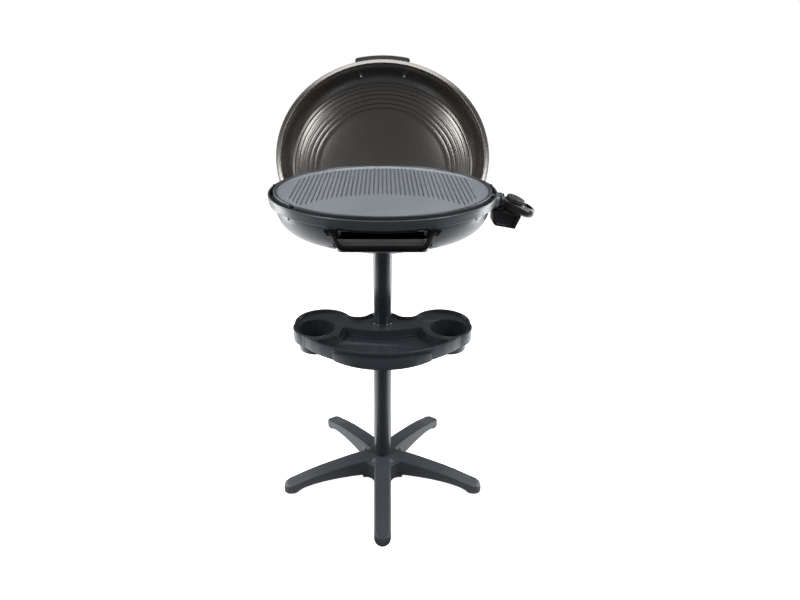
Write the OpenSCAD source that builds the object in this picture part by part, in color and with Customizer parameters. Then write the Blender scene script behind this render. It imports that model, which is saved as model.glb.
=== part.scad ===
// Electric grill on a five-legged stand, with its lid swung open behind the bowl.
// Origin: middle of the stand on the floor. +Z up, the front faces -Y.

/* [Overall] */
// Floor to the top of the grill plate
working_height = 785; // [720:1:880]
// Smoothness of round parts
smooth = 96; // [48:8:144]

/* [Stand] */
// Circle that the five leg tips reach
star_d = 537; // [500:1:600]
// Number of legs
leg_count = 5; // [5:1:6]
// Leg width at the hub
leg_root_w = 40; // [36:1:44]
// Leg width at the tip
leg_tip_w = 36.5; // [32:0.5:38]
// Height of the hub over the floor
hub_h = 65; // [60:1:80]
// Diameter of the hub
hub_d = 96; // [90:1:110]
// Free height under a leg
leg_arch_h = 19; // [12:1:22]
// Thickness of the rubber foot pads
pad_h = 4; // [3:0.5:6]
// Diameter of the rubber foot pads
pad_d = 29; // [20:1:30]
// Outside diameter of the lower tube
lower_tube_d = 45; // [44:0.5:46]
// Outside diameter of the upper tube, whose foot is drawn narrower to slide into the lower one
upper_tube_d = 44; // [43:0.5:44.5]
// Wall of both tubes
tube_wall = 1.5; // [1:0.1:1.6]
// Length of the upper tube inside the lower one
tube_overlap = 100; // [60:1:140]

/* [Condiment tray] */
// Height of the tray deck over the floor
tray_z = 452; // [400:1:500]
// Distance of a cup well from the middle
cup_x = 157; // [152:1:160]
// Inner diameter of a cup well at the deck
cup_d = 89; // [80:1:90]
// Depth of a cup well
cup_depth = 47; // [35:1:60]
// Depth of the middle basin
basin_depth = 22; // [15:1:24]
// Height of the raised edge over the deck
tray_rim_h = 7; // [4:0.5:10]
// Wall of the tray
tray_wall = 2.5; // [2:0.1:3]

/* [Bowl] */
// Outside diameter of the bowl rim
bowl_d = 496; // [494:0.5:499]
// Depth of the bowl from its rim to its underside
bowl_depth = 90; // [88:0.5:94]
// Wall of the bowl
bowl_wall = 2.5; // [2:0.1:3]
// Height of the upright band below the rim
band_h = 17; // [14:0.5:18]

/* [Grill plate] */
// Diameter of the grill plate
plate_d = 475.6; // [470:0.2:478]
// Thickness of the plate at its edge
plate_h = 20; // [16:0.5:21]
// Height of the plate edge over the bowl rim
plate_proud = 5; // [3:0.5:6]
// Depth of the cooking surface below the plate edge
plate_recess = 6; // [4:0.5:8]
// Distance between grooves
groove_pitch = 9.7; // [8:0.1:12]
// Width of a groove
groove_w = 3; // [2:0.1:4]
// Depth of a groove
groove_depth = 4; // [2:0.5:5]

/* [Lid] */
// Outside diameter of the lid
lid_d = 540; // [538:1:548]
// Inner height of the dome over its rim
lid_h = 114; // [113:1:130]
// Sheet thickness of the lid
lid_wall = 1.6; // [1:0.1:2]
// Angle from closed to open
lid_open = 128; // [110:1:130]
// Distance of the hinge axis behind the middle
hinge_y = 126; // [124:0.5:128]
// Depth of the hinge axis below the bowl rim
hinge_drop = 40; // [39:0.5:42]
// Diameter of the hinge pins
hinge_pin_d = 8; // [6:0.5:10]
// Length of the lid handle
lid_grip_w = 134; // [110:1:160]

/* [Drip tray] */
// Width of the drip tray
drip_w = 176; // [150:1:180]
// Length of the drip tray
drip_l = 351; // [300:1:360]
// Height of the drip tray
drip_h = 26; // [18:1:27]
// Travel of the drip tray handle in front of the tray
bail_reach = 26; // [20:1:34]

/* [Thermostat] */
// Diameter of the control knob
knob_d = 43; // [36:0.5:46]
// Height of the control knob
knob_h = 9; // [7:0.5:14]
// Length of the grip loop
grip_l = 83; // [76:1:92]
// Downward slope of the grip loop
grip_tilt = 21.5; // [14:0.5:26]
// Lean of the grip loop towards the user
grip_roll = 5; // [0:1:10]
// Thickness of the grip loop
grip_t = 22; // [20:1:26]

/* [Hidden] */
$fn = smooth;

// Clearances
fit = 0.1;
loose = 0.3;
eps = 0.01;
seam = 0.02;
touch = 0.05;

// Heights that stack up from the floor
rim_z = working_height - plate_proud;
plate_z = working_height - plate_h;
bowl_z = rim_z - bowl_depth;
band_z = rim_z - band_h;
floor_z = bowl_z + bowl_wall;

// Stand
star_r = star_d / 2;
hub_floor = 6;
hub_z = 14;
tube_foot_z = hub_z + hub_floor;
lower_r = lower_tube_d / 2;
upper_r = upper_tube_d / 2;
socket_flange_t = 6;
tube_top_z = bowl_z - socket_flange_t;
pad_r = star_r - leg_tip_w / 2 - 1;
leg_end_h = 22;
bolt_r = 4;
washer_r = 13;
plug_h = 20;

// Condiment tray
tray_skirt = 22;
rim_top_z = tray_z + tray_rim_h;
lobe = [143, -7, 68];
lobe_side = [152, -32, 60];
tray_clip = [424, 160];
tray_back_y = 18;
tray_neck_r = 46;
tray_edge_w = 5;
front_arc = [0, 58, 230];
basin_back = [0, 160, 205];
lip_arc = [0, -24, 165];
lip_half_w = 109;
cup_y = -29;
cup_r = cup_d / 2;
cup_taper = 4;
cup_land = 17;
tray_hub_r = 33;
hub_ledge = 8;
hub_drop = 28;
well_r = 25;
sleeve_h = 12;
sleeve_seat_z = tray_z - hub_ledge;
lower_tube_top = tray_z - 2;
collar_h = 16;
collar_r = 28;

// Bowl
bowl_r = bowl_d / 2;
shoulder = 12.5;
bowl_knee = 62;
bowl_power = 2.2;
flat_r = 90;
flat_rise = 6;
band_lip = 4;
opening_w = drip_w + 16;
opening_top = rim_z - 25;
opening_bottom = opening_top - 43;

// Drip tray and its handle
drip_z = opening_bottom + 3.2;
drip_front = -bowl_r + 12;
ear_z = drip_z + drip_h;
bail_y = drip_front - bail_reach + 6;
bail_z = drip_z + 14.5;

// Plate
plate_r = plate_d / 2;
plate_edge_w = 9;
plate_floor_z = working_height - plate_recess;
plate_web = 6;
griddle_arc = [0, -233, 190];
slot_pos = [212, -52];
slot_size = [12, 3];
notch_w = 14;
notch_angle = 222;

// Rests that carry the plate and the reflector
rest_angles = [-37, 217, 60, 120];
rest_w = 18;
rest_t = 2;
rest_out_r = 229;
rest_in_r = 212;
reflector_z = rim_z - 34;
reflector_r = 216;
reflector_t = 1.2;
dish_drop = 3;
rest_screw_z = rim_z - 24;

// Heating element
element_z = rim_z - 26;
element_r = 3.5;
outer_loop_r = 150;
inner_loop_r = 105;
loop_end = 166;
bend_r = 12;
terminal_y = 12;
clip_angles = [45, 135, 225, 315];

// Thermostat socket and controller
socket_x = 256;
shroud_r = 18;
shroud_bore = 16.5;
neck_x = 240;
grip_x = 262;
pin_r = 3;
knob_at = 30;
knob_gap = 0.4;
shaft_r = 3;

// Lid in its own frame: rim plane at Z 0, dome up, front at -Y
lid_r = lid_d / 2;
lid_drop = 6;
lid_seat_z = rim_z - lid_drop;
flange_w = 11;
dome_r = 251;
dome_z = 11;
dome_power = 2.15;
dome_b = lid_h - dome_z;
ring_radii = [235, 228, 220, 211, 201, 190, 179];
ring_step = 2.2;
grip_r = 291;
grip_z = 30;
grip_size = [17, 16];
handle_post_x = 59;
post_w = 15;
handle_screw_r = 2;
arm_x = lid_r - 51;
arm_t = 6;
arm_r = 11;
arm_foot = [9, 41];
arm_foot_t = 5;
arm_screw_r = 2;
hinge_z = rim_z - hinge_drop;
hinge_rel_z = hinge_z - lid_seat_z;
stop_r = 3;

// Stop peg beside the middle of the arm's outer edge when the lid is open, from the hinge axis
arm_edge = [[9.2, -6.1], [arm_foot.y, -hinge_rel_z - 6]];
edge_run = (arm_edge[1] - arm_edge[0]) / norm(arm_edge[1] - arm_edge[0]);
stop_closed = (arm_edge[0] + arm_edge[1]) / 2 + (stop_r + loose) * [edge_run.y, -edge_run.x];
stop_at = [stop_closed.x * cos(lid_open) + stop_closed.y * sin(lid_open),
           stop_closed.y * cos(lid_open) - stop_closed.x * sin(lid_open)];

function arc(c, r, a, b, n) = [for (i = [0 : n]) c + r * [cos(a + (b - a) * i / n), sin(a + (b - a) * i / n)]];

// Radius of the bowl's outside below the band, and its height, for t from 0 to 90 degrees
wall_r = bowl_r - shoulder;
function knee_r(t, s) = wall_r - bowl_knee - s + bowl_knee * pow(cos(t), 2 / bowl_power);
function knee_z(t, s) = band_z - 2 - (band_z - 2 - bowl_z - flat_rise - s) * pow(sin(t), 2 / bowl_power);
function bowl_curve(s) = [for (t = [0 : 7.5 : 90]) [knee_r(t, s), knee_z(t, s)]];

// Height of the dome's inner face over the rim at radius r
function dome_at(r) = dome_z + dome_b * pow(1 - pow(min(r / dome_r, 1), dome_power), 1 / dome_power);
first_ring = ring_radii[0];
last_ring = ring_radii[len(ring_radii) - 1];

module ring_of(count, radius, start = 0) {
    for (i = [0 : count - 1]) rotate([0, 0, start + i * 360 / count]) translate([radius, 0, 0]) children();
}

module both_sides() {
    children();
    mirror([1, 0, 0]) children();
}

module mirror_y(on) {
    if (on) mirror([0, 1, 0]) children(); else children();
}

module tube(r_out, r_in, h) {
    difference() {
        cylinder(r = r_out, h = h);
        translate([0, 0, -1]) cylinder(r = r_in, h = h + 2);
    }
}

module lying_x(x0, x1, r) {
    translate([x0, 0, 0]) rotate([0, 90, 0]) cylinder(r = r, h = x1 - x0);
}

// Stand

module leg_side() {
    top = concat(arc([60, hub_h - 190], 190, 90, 75, 5), [[star_r - 34, 33], [star_r - 14, 27]],
                 arc([star_r - 6, leg_end_h - 4], 6, 60, 0, 4));
    under = [[star_r, pad_h], [star_r - 38, pad_h], [star_r - 46, leg_arch_h - 8], [star_r - 62, leg_arch_h - 2],
             [star_r - 84, leg_arch_h], [hub_d / 2, leg_arch_h], [0, leg_arch_h]];
    polygon(concat([[0, hub_h]], top, under));
}

module leg() {
    tip_r = leg_tip_w / 2;
    intersection() {
        rotate([90, 0, 0]) translate([0, 0, -leg_root_w / 2]) linear_extrude(leg_root_w) leg_side();
        linear_extrude(hub_h + 1) polygon(concat([[0, leg_root_w / 2], [0, -leg_root_w / 2]],
                                                 arc([star_r - tip_r, 0], tip_r, -90, 90, 24)));
    }
}

module base_star() {
    color("#34383c") difference() {
        union() {
            for (i = [0 : leg_count - 1]) rotate([0, 0, -90 + i * 360 / leg_count]) leg();
            translate([0, 0, hub_z]) cylinder(d = hub_d, h = hub_h - hub_z - 6);
            translate([0, 0, hub_h - 7]) cylinder(r1 = hub_d / 2 - 4, r2 = lower_r + 12, h = 8);
        }
        translate([0, 0, tube_foot_z]) cylinder(r = lower_r + fit, h = hub_h);
        cylinder(r = bolt_r + loose, h = hub_h);
    }
}

module foot_pads() {
    boot_d = 2 * washer_r + 8;
    color("#1c1d1f") {
        ring_of(leg_count, pad_r - 2, -90) {
            cylinder(d1 = pad_d - 2, d2 = pad_d, h = 1);
            translate([0, 0, 1]) cylinder(d = pad_d, h = pad_h - 1);
        }
        difference() {
            cylinder(d = boot_d, h = hub_z);
            translate([0, 0, pad_h]) cylinder(r = washer_r + fit, h = hub_z);
        }
    }
}

module base_bolt() {
    head_h = 5;
    washer_t = 1.5;
    color("#a9adb0") {
        translate([0, 0, hub_z - washer_t]) tube(washer_r, bolt_r + loose, washer_t);
        translate([0, 0, hub_z - washer_t - head_h]) cylinder(r = 7.5, h = head_h, $fn = 6);
        translate([0, 0, hub_z - washer_t]) cylinder(r = bolt_r, h = hub_floor + plug_h - 2);
    }
}

module tube_plug() {
    color("#5d6165") translate([0, 0, tube_foot_z])
        tube(lower_r - tube_wall - fit, bolt_r + 0.05, plug_h);
}

module lower_tube() {
    color("#3a3e42") translate([0, 0, tube_foot_z])
        tube(lower_r, lower_r - tube_wall, lower_tube_top - tube_foot_z);
}

module upper_tube() {
    foot_z = lower_tube_top - tube_overlap;
    foot_r = lower_r - tube_wall - fit;
    shoulder_z = lower_tube_top + fit;
    color("#3a3e42") rotate_extrude() polygon([
        [foot_r - tube_wall, foot_z], [foot_r, foot_z], [foot_r, shoulder_z], [upper_r, shoulder_z + 1],
        [upper_r, tube_top_z], [upper_r - tube_wall, tube_top_z], [upper_r - tube_wall, shoulder_z + 3],
        [foot_r - tube_wall, shoulder_z + 2]]);
}

module tube_sleeve() {
    top_z = sleeve_seat_z + sleeve_h;
    color("#3a3e42") rotate_extrude() polygon([
        [lower_r + fit, sleeve_seat_z], [well_r - fit, sleeve_seat_z], [well_r - fit, tray_z],
        [well_r - 1.2, top_z - 0.6], [well_r - 1.8, top_z], [lower_r + fit, top_z]]);
}

// Condiment tray

module tray_outline($fn = 48) {
    offset(r = -22) offset(delta = 22) offset(r = 8) offset(delta = -8) {
        both_sides() {
            translate([lobe.x, lobe.y]) circle(lobe.z);
            translate([lobe_side.x, lobe_side.y]) circle(lobe_side.z);
        }
        intersection() {
            translate([front_arc.x, front_arc.y]) circle(front_arc.z);
            translate([-tray_clip.x / 2, -tray_clip.y - 20]) square(tray_clip);
        }
        translate([-lobe.x, -40]) square([2 * lobe.x, 40 + tray_back_y]);
        circle(tray_neck_r);
    }
}

module basin_outline($fn = 48) {
    offset(r = 9) offset(delta = -9) difference() {
        intersection() {
            translate([front_arc.x, front_arc.y]) circle(front_arc.z - 8);
            translate([-163, -190]) square([326, 180]);
        }
        translate([basin_back.x, basin_back.y]) circle(basin_back.z);
        both_sides() translate([cup_x, cup_y]) circle(cup_r + cup_land);
    }
}

module lip_outline($fn = 48) {
    difference() {
        intersection() {
            translate([lip_arc.x, lip_arc.y]) circle(lip_arc.z);
            translate([-lip_half_w, -210]) square([2 * lip_half_w, 120]);
        }
        translate([front_arc.x, front_arc.y]) circle(front_arc.z - tray_wall);
    }
}

module cup_well(grow = 0, deep = 0) {
    translate([0, 0, tray_z - cup_depth - deep])
        cylinder(r1 = cup_r - cup_taper + grow, r2 = cup_r + grow, h = cup_depth + deep);
}

module condiment_tray() {
    basin_z = tray_z - basin_depth;
    lip_h = 20;
    color("#3b4045") difference() {
        union() {
            translate([0, 0, tray_z - tray_skirt]) linear_extrude(tray_skirt) difference() {
                tray_outline();
                offset(delta = -tray_wall) tray_outline();
            }
            translate([0, 0, tray_z - tray_wall]) linear_extrude(tray_wall + tray_rim_h) difference() {
                tray_outline();
                offset(delta = -tray_edge_w) tray_outline();
            }
            translate([0, 0, tray_z - tray_wall]) linear_extrude(tray_wall) tray_outline();
            translate([0, 0, basin_z - tray_wall]) linear_extrude(basin_depth)
                offset(delta = tray_wall) basin_outline();
            translate([0, 0, tray_z - tray_skirt]) linear_extrude(lip_h) difference() {
                lip_outline();
                offset(delta = -tray_wall) lip_outline();
            }
            translate([0, 0, tray_z - tray_skirt + lip_h - tray_wall]) linear_extrude(tray_wall) lip_outline();
            both_sides() translate([cup_x, cup_y, 0]) cup_well(tray_wall, tray_wall);
            translate([0, 0, tray_z - hub_drop]) cylinder(r = tray_hub_r, h = hub_drop);
        }
        translate([0, 0, basin_z]) linear_extrude(basin_depth + 1) offset(delta = -4) basin_outline();
        translate([0, 0, basin_z + 5]) linear_extrude(basin_depth) basin_outline();
        both_sides() translate([cup_x, cup_y, 0]) {
            cup_well();
            translate([0, 0, tray_z - eps]) cylinder(r = cup_r, h = 1);
        }
        translate([0, 0, tray_z - hub_drop - 1]) cylinder(r = lower_r + fit, h = hub_drop + 2);
        translate([0, 0, sleeve_seat_z]) cylinder(r = well_r, h = hub_ledge + 1);
    }
}

module tray_collar() {
    collar_z = tray_z - hub_drop - collar_h;
    color("#2b2e31") difference() {
        translate([0, 0, collar_z]) tube(collar_r, lower_r + fit, collar_h);
        translate([0, 0, collar_z + collar_h / 2]) for (a = [90, 270]) rotate([0, 0, a])
            lying_x(lower_r - 1, collar_r + 1, 2.6);
    }
}

module collar_screws() {
    color("#a9adb0") translate([0, 0, tray_z - hub_drop - collar_h / 2]) for (a = [90, 270])
        rotate([0, 0, a]) {
            lying_x(lower_r + fit, collar_r + 1, 2.5);
            lying_x(collar_r + 0.6, collar_r + 4, 4.5);
        }
}

// Bowl and what is fixed to it

module bowl_section(s) {
    outer = concat([[bowl_r - 1.5, rim_z], [bowl_r, rim_z - 1.5], [bowl_r - 1.5, band_z], [wall_r + 1, band_z - 1]],
                   bowl_curve(0), [[flat_r, bowl_z], [0, bowl_z]]);
    inner = concat([[0, floor_z], [flat_r, floor_z]],
                   [for (t = [90 : -7.5 : 0]) [knee_r(t, bowl_wall), knee_z(t, bowl_wall)]],
                   [[bowl_r - band_lip, band_z + 2], [bowl_r - band_lip, rim_z]]);
    polygon(s == "shell" ? concat(outer, inner) : concat([[0, rim_z]], outer));
}

// The bowl as a full block, made wider all round by grow
module bowl_block(grow) {
    scale_up = (bowl_r + grow) / bowl_r;
    translate([0, 0, rim_z]) scale([scale_up, scale_up, scale_up]) translate([0, 0, -rim_z])
        rotate_extrude() bowl_section("block");
}

module rest_screw_axis(angle) {
    rotate([0, 0, angle]) translate([0, 0, rest_screw_z]) children();
}

module bowl() {
    color("#3f444a") difference() {
        rotate_extrude() bowl_section("shell");
        translate([-opening_w / 2, -bowl_r, opening_bottom]) cube([opening_w, 110, opening_top - opening_bottom]);
        translate([0, 0, element_z]) lying_x(bowl_r - 40, bowl_r + 1, shroud_bore);
        for (a = rest_angles) rest_screw_axis(a) {
            lying_x(wall_r - 5, wall_r + 1, 2.2);
            lying_x(wall_r - 1.8, wall_r + 6, 6.5);
        }
        ring_of(4, 42, 45) translate([0, 0, bowl_z - 1]) cylinder(r = 2.7, h = bowl_wall + 2);
    }
}

module pole_socket() {
    sleeve_len = 44;
    color("#2b2e31") difference() {
        union() {
            translate([0, 0, tube_top_z]) cylinder(r = 55, h = socket_flange_t);
            translate([0, 0, tube_top_z - sleeve_len]) cylinder(r = upper_r + 6, h = sleeve_len + 1);
            for (a = [0 : 90 : 270]) rotate([0, 0, a]) translate([0, 2, tube_top_z + 1]) rotate([90, 0, 0])
                linear_extrude(4) polygon([[upper_r + 3, 0], [50, 0], [upper_r + 3, -30]]);
        }
        translate([0, 0, tube_top_z - sleeve_len - 1]) cylinder(r = upper_r + fit, h = sleeve_len + 1);
        ring_of(4, 42, 45) translate([0, 0, tube_top_z - 1]) cylinder(r = 2.7, h = socket_flange_t + 2);
    }
}

module socket_screws() {
    color("#a9adb0") ring_of(4, 42, 45) {
        translate([0, 0, tube_top_z - 3]) cylinder(r = 4.6, h = 3);
        translate([0, 0, tube_top_z - 1]) cylinder(r = 2.4, h = socket_flange_t + bowl_wall + 7);
    }
}

module socket_nuts() {
    color("#a9adb0") ring_of(4, 42, 45) translate([0, 0, floor_z]) difference() {
        cylinder(r = 4.8, h = 4, $fn = 6);
        translate([0, 0, -1]) cylinder(r = 2.45, h = 6);
    }
}

module rim_bumpers() {
    color("#1c1d1f") for (a = [6, 174]) rotate([0, 0, a])
        translate([bowl_r - band_lip / 2 - 1.6, 0, rim_z]) {
            cylinder(r = 2.8, h = 3);
            translate([0, 0, 3]) cylinder(r1 = 2.8, r2 = 1.8, h = 1.2);
        }
}

module plate_rests() {
    shelf_z = plate_z - rest_t - touch;
    foot_z = reflector_z - rest_t - touch;
    color("#8f9498") for (a = rest_angles) rotate([0, 0, a]) difference() {
        union() {
            translate([rest_out_r - rest_t, -rest_w / 2, foot_z]) cube([rest_t, rest_w, plate_z - touch - foot_z]);
            translate([rest_in_r, -rest_w / 2, shelf_z]) cube([rest_out_r - rest_in_r, rest_w, rest_t]);
            translate([rest_in_r - 12, -rest_w / 2, foot_z]) cube([rest_out_r - rest_in_r + 12, rest_w, rest_t]);
        }
        translate([0, 0, rest_screw_z]) lying_x(rest_out_r - 4, rest_out_r + 1, 2.2);
    }
}

module rest_screws() {
    color("#9a9ea2") for (a = rest_angles) rest_screw_axis(a) {
        lying_x(rest_out_r - 5, wall_r - 1, 2);
        lying_x(wall_r - 1.7, wall_r + 0.6, 4.2);
    }
}

module reflector() {
    color("#a4a8ab") difference() {
        rotate_extrude() polygon([
            [60, reflector_z - dish_drop], [reflector_r - 24, reflector_z], [reflector_r, reflector_z],
            [reflector_r, reflector_z + reflector_t], [reflector_r - 24, reflector_z + reflector_t],
            [60, reflector_z - dish_drop + reflector_t]]);
        for (a = rest_angles) rotate([0, 0, a]) translate([rest_out_r - 18, -rest_w / 2 - 1, reflector_z - 1])
            cube([20, rest_w + 2, 4]);
        translate([195, -26, reflector_z - 2]) cube([30, 52, 6]);
    }
}

// One bend of the element tube, a hair short of its neighbours at both ends
module element_arc(r, a, b) {
    short = seam / r * 180 / PI;
    rotate([0, 0, a + short]) rotate_extrude(angle = b - a - 2 * short) translate([r, 0]) circle(element_r);
}

module heating_element() {
    turn_r = (outer_loop_r - inner_loop_r) / 2;
    bend_y = terminal_y + bend_r;
    bend_x = sqrt(pow(outer_loop_r + bend_r, 2) - bend_y * bend_y);
    start = atan2(bend_y, bend_x);
    color("#6b6f73") translate([0, 0, element_z]) {
        element_arc(inner_loop_r, -loop_end, loop_end);
        for (side = [0, 1]) mirror_y(side) {
            element_arc(outer_loop_r, start, loop_end);
            rotate([0, 0, loop_end]) translate([inner_loop_r + turn_r, 0, 0]) element_arc(turn_r, 0, 180);
            translate([bend_x, bend_y, 0]) element_arc(bend_r, 180 + start, 270);
            translate([0, terminal_y, 0]) lying_x(bend_x + seam, 226, element_r);
        }
    }
}

module element_clips() {
    saddle_h = element_z - reflector_z - element_r;
    color("#8f9498") for (a = clip_angles) rotate([0, 0, a]) for (r = [inner_loop_r, outer_loop_r])
        translate([r, 0, 0]) {
            drop = dish_drop * (reflector_r - 24 - r) / (reflector_r - 84);
            translate([-5, -4, reflector_z + reflector_t - drop + 0.6]) cube([10, 8, saddle_h - reflector_t + drop - 1]);
        }
}

module terminal_block() {
    color("#d8d4c8") difference() {
        intersection() {
            translate([214, -22, element_z - 8]) cube([30, 44, 16]);
            cylinder(r = bowl_r - shoulder - bowl_wall - 4, h = rim_z);
        }
        for (y = [-terminal_y, terminal_y]) translate([0, y, element_z]) lying_x(210, 245, element_r + 0.1);
        translate([0, 0, element_z]) lying_x(210, 245, 3.4);
    }
}

module terminal_pins() {
    color("#c9ccd0") for (y = [-terminal_y, terminal_y]) translate([0, y, element_z]) lying_x(226, 258, pin_r);
}

module socket_shroud() {
    color("#8d9298") difference() {
        union() {
            translate([0, 0, element_z]) lying_x(wall_r - 14, socket_x, shroud_r);
            translate([0, 0, element_z]) lying_x(wall_r - 14, wall_r + 3, shroud_r + 3);
        }
        bowl_block(0.6);
        translate([0, 0, element_z]) lying_x(wall_r - 20, socket_x + 1, shroud_bore);
    }
}

module drip_rails() {
    rail_top = opening_bottom + 3;
    ledge_w = 0.1 * drip_w;
    inner_x = drip_w / 2 - ledge_w;
    rail_l = 0.78 * drip_l;
    rail_y = -0.47 * drip_l;
    web_l = 0.57 * drip_l;
    leg_w = 0.137 * drip_l;
    sheet = 2;
    color("#8f9498") both_sides() {
        translate([inner_x, rail_y, rail_top - sheet]) cube([ledge_w + sheet + 0.5, rail_l, sheet]);
        translate([drip_w / 2 + 0.5, rail_y, rail_top - sheet]) cube([sheet, rail_l, 9]);
        translate([inner_x, 0.6 * rail_y - 20, rail_top - 13]) cube([sheet, web_l, 13]);
        translate([inner_x, -leg_w / 2, floor_z]) cube([sheet, leg_w, rail_top - floor_z - 1]);
        translate([inner_x - 14, -leg_w / 2, floor_z]) cube([15, leg_w, sheet]);
    }
}

module hinge_brackets() {
    boss_r = 12;
    color("#2b2e31") both_sides() difference() {
        union() {
            translate([0, hinge_y, hinge_z]) lying_x(wall_r - 60, arm_x - 0.4, boss_r);
            translate([0, hinge_y, hinge_z]) intersection() {
                lying_x(wall_r - 60, arm_x - 8, 22);
                translate([0, -hinge_y, -hinge_z]) bowl_block(4);
            }
            translate([arm_x - 7, hinge_y, hinge_z]) rotate([90, 0, 90]) linear_extrude(6.6) {
                translate(stop_at) circle(6);
                polygon([[-boss_r, 0], [boss_r, 0], [stop_at.x + 6, stop_at.y], [stop_at.x - 6, stop_at.y]]);
            }
            translate([0, hinge_y + stop_at.x, hinge_z + stop_at.y]) lying_x(arm_x - 1, arm_x + arm_t, stop_r);
        }
        bowl_block(0.3);
        translate([0, hinge_y, hinge_z]) lying_x(arm_x - 16, arm_x + 1, hinge_pin_d / 2 + 0.05);
    }
}

module hinge_pins() {
    color("#b9bcc0") both_sides() translate([0, hinge_y, hinge_z]) {
        lying_x(arm_x - 15.5, arm_x + arm_t + 1, hinge_pin_d / 2);
        lying_x(arm_x + arm_t + 0.3, arm_x + arm_t + 3.3, hinge_pin_d / 2 + 3);
    }
}

// Grill plate

module groove(x) {
    back_y = sqrt(pow(plate_r - plate_edge_w - 6, 2) - x * x);
    arc_y = abs(x) < griddle_arc.z ? griddle_arc.y + sqrt(pow(griddle_arc.z, 2) - x * x) : griddle_arc.y;
    front_y = max(arc_y, -sqrt(pow(plate_r - plate_edge_w - 18, 2) - x * x));
    translate([x, 0, plate_floor_z - groove_depth]) {
        translate([-groove_w / 2, front_y, 0]) cube([groove_w, back_y - front_y, groove_depth + 1]);
        translate([0, front_y, 0]) cylinder(d = groove_w + 2, h = groove_depth + 1, $fn = 20);
    }
}

module grill_plate() {
    last = floor(200 / groove_pitch);
    web_r = plate_r - plate_edge_w;
    color("#6d7580") difference() {
        rotate_extrude() polygon([
            [0, plate_floor_z - plate_web], [web_r - 12, plate_floor_z - plate_web], [web_r - 12, plate_z],
            [plate_r - 2, plate_z], [plate_r, plate_z + 2], [plate_r, working_height - 2],
            [plate_r - 1.5, working_height], [plate_r - 5, working_height], [web_r + 2.5, plate_floor_z + 3],
            [web_r + 1, plate_floor_z + 2.6], [web_r - 1, plate_floor_z], [0, plate_floor_z]]);
        for (i = [-last : last]) groove(i * groove_pitch);
        for (s = [-1, 1]) translate([s * slot_pos.x, slot_pos.y, plate_z - 1]) {
            translate([-slot_size.x / 2, -slot_size.y / 2, 0]) cube([slot_size.x, slot_size.y, plate_h]);
        }
        for (a = [notch_angle, notch_angle - 180]) rotate([0, 0, a])
            translate([plate_r - 7, -notch_w / 2, plate_floor_z]) cube([10, notch_w, plate_recess + 1]);
    }
}

// Drip tray

module drip_plan(inset) {
    hw = drip_w / 2 - inset;
    corner = 14 - inset;
    y0 = -bowl_r + 12 + inset;
    y1 = y0 + drip_l - 2 * inset;
    union() {
        translate([-hw + corner, y0]) square([2 * (hw - corner), y1 - y0]);
        translate([-hw, y0 + corner]) square([2 * hw, y1 - y0 - 2 * corner]);
        for (x = [-1, 1], y = [y0 + corner, y1 - corner]) translate([x * (hw - corner), y]) circle(corner);
    }
}

module drip_tray() {
    color("#7d8389") difference() {
        translate([0, 0, drip_z]) linear_extrude(drip_h) drip_plan(0);
        translate([0, 0, drip_z + 1.4]) linear_extrude(drip_h) drip_plan(1.4);
    }
}

module drip_handle() {
    ear_in = drip_w / 2 + 0.3;
    color("#17181a") both_sides() {
        translate([0, drip_front + 12, 0]) rotate([90, 0, 0]) linear_extrude(12)
            polygon([[ear_in - 4, ear_z + 0.3], [ear_in + 12, ear_z], [ear_in + 22, ear_z + 14.5],
                     [ear_in - 4, ear_z + 14.5]]);
        hull() {
            translate([ear_in + 5, drip_front, ear_z + 8]) rotate([0, 90, 0]) cylinder(r = 6, h = 9, $fn = 32);
            translate([drip_w / 2 - 22, bail_y, bail_z]) sphere(5.6, $fn = 32);
            translate([drip_w / 2 - 15, bail_y, bail_z + 1]) sphere(5.6, $fn = 32);
        }
        translate([0, bail_y, bail_z]) lying_x(0, drip_w / 2 - 16, 5.6);
    }
}

module handle_lugs() {
    color("#b9bcc0") both_sides()
        translate([drip_w / 2 - 10, drip_front + 12, ear_z]) cube([22, 1.6, 13]);
}

module handle_rivets() {
    color("#b9bcc0") both_sides() translate([drip_w / 2 + 5, drip_front + 13.6, ear_z + 8])
        rotate([-90, 0, 0]) cylinder(r = 3, h = 1.4);
}

// Lid, in its own closed frame, then swung about the hinge axis to its open rest place

module swing_open() {
    translate([0, hinge_y, hinge_z]) rotate([-lid_open, 0, 0]) translate([0, -hinge_y, -hinge_rel_z]) children();
}

module lid_section() {
    rings = [for (r = ring_radii, step = [0, 1]) [r - 0.4 * step, dome_at(r) + ring_step * step]];
    wall = [for (r = [250, 248, 245, 241]) [r, dome_at(r)]];
    crown_r = [for (i = [1 : 12]) (last_ring - 8) * cos(90 * i / 12)];
    blend = function(r) ring_step * max(0, (r - 120) / (last_ring - 120));
    crown = [for (r = crown_r) [r, dome_at(r) + blend(r)]];
    inner = concat([[lid_r - flange_w, 0], [lid_r - flange_w - 0.6, -1.2], [lid_r - flange_w - 2, -1.2],
                    [lid_r - flange_w - 3, 1], [dome_r + 3, 4], [dome_r, dome_z]], wall, rings, crown);
    n = len(inner);
    outer = [for (i = [n - 1 : -1 : 5]) [inner[i].x * (1 + lid_wall / dome_r), inner[i].y + lid_wall]];
    polygon(concat(inner, outer, [[lid_r - 9, 9.5], [lid_r - 2, 8], [lid_r, 6], [lid_r, 1.8], [lid_r - 1.8, 0]]));
}

module lid_shell() {
    color("#5a5651") swing_open() difference() {
        rotate_extrude() lid_section();
        at_handle_feet() lying_x(dome_r - 12, dome_r + 4, handle_screw_r + loose);
        both_sides() arm_screw_axes() translate([0, 0, -1]) cylinder(r = arm_screw_r + loose, h = 5);
    }
}

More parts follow.
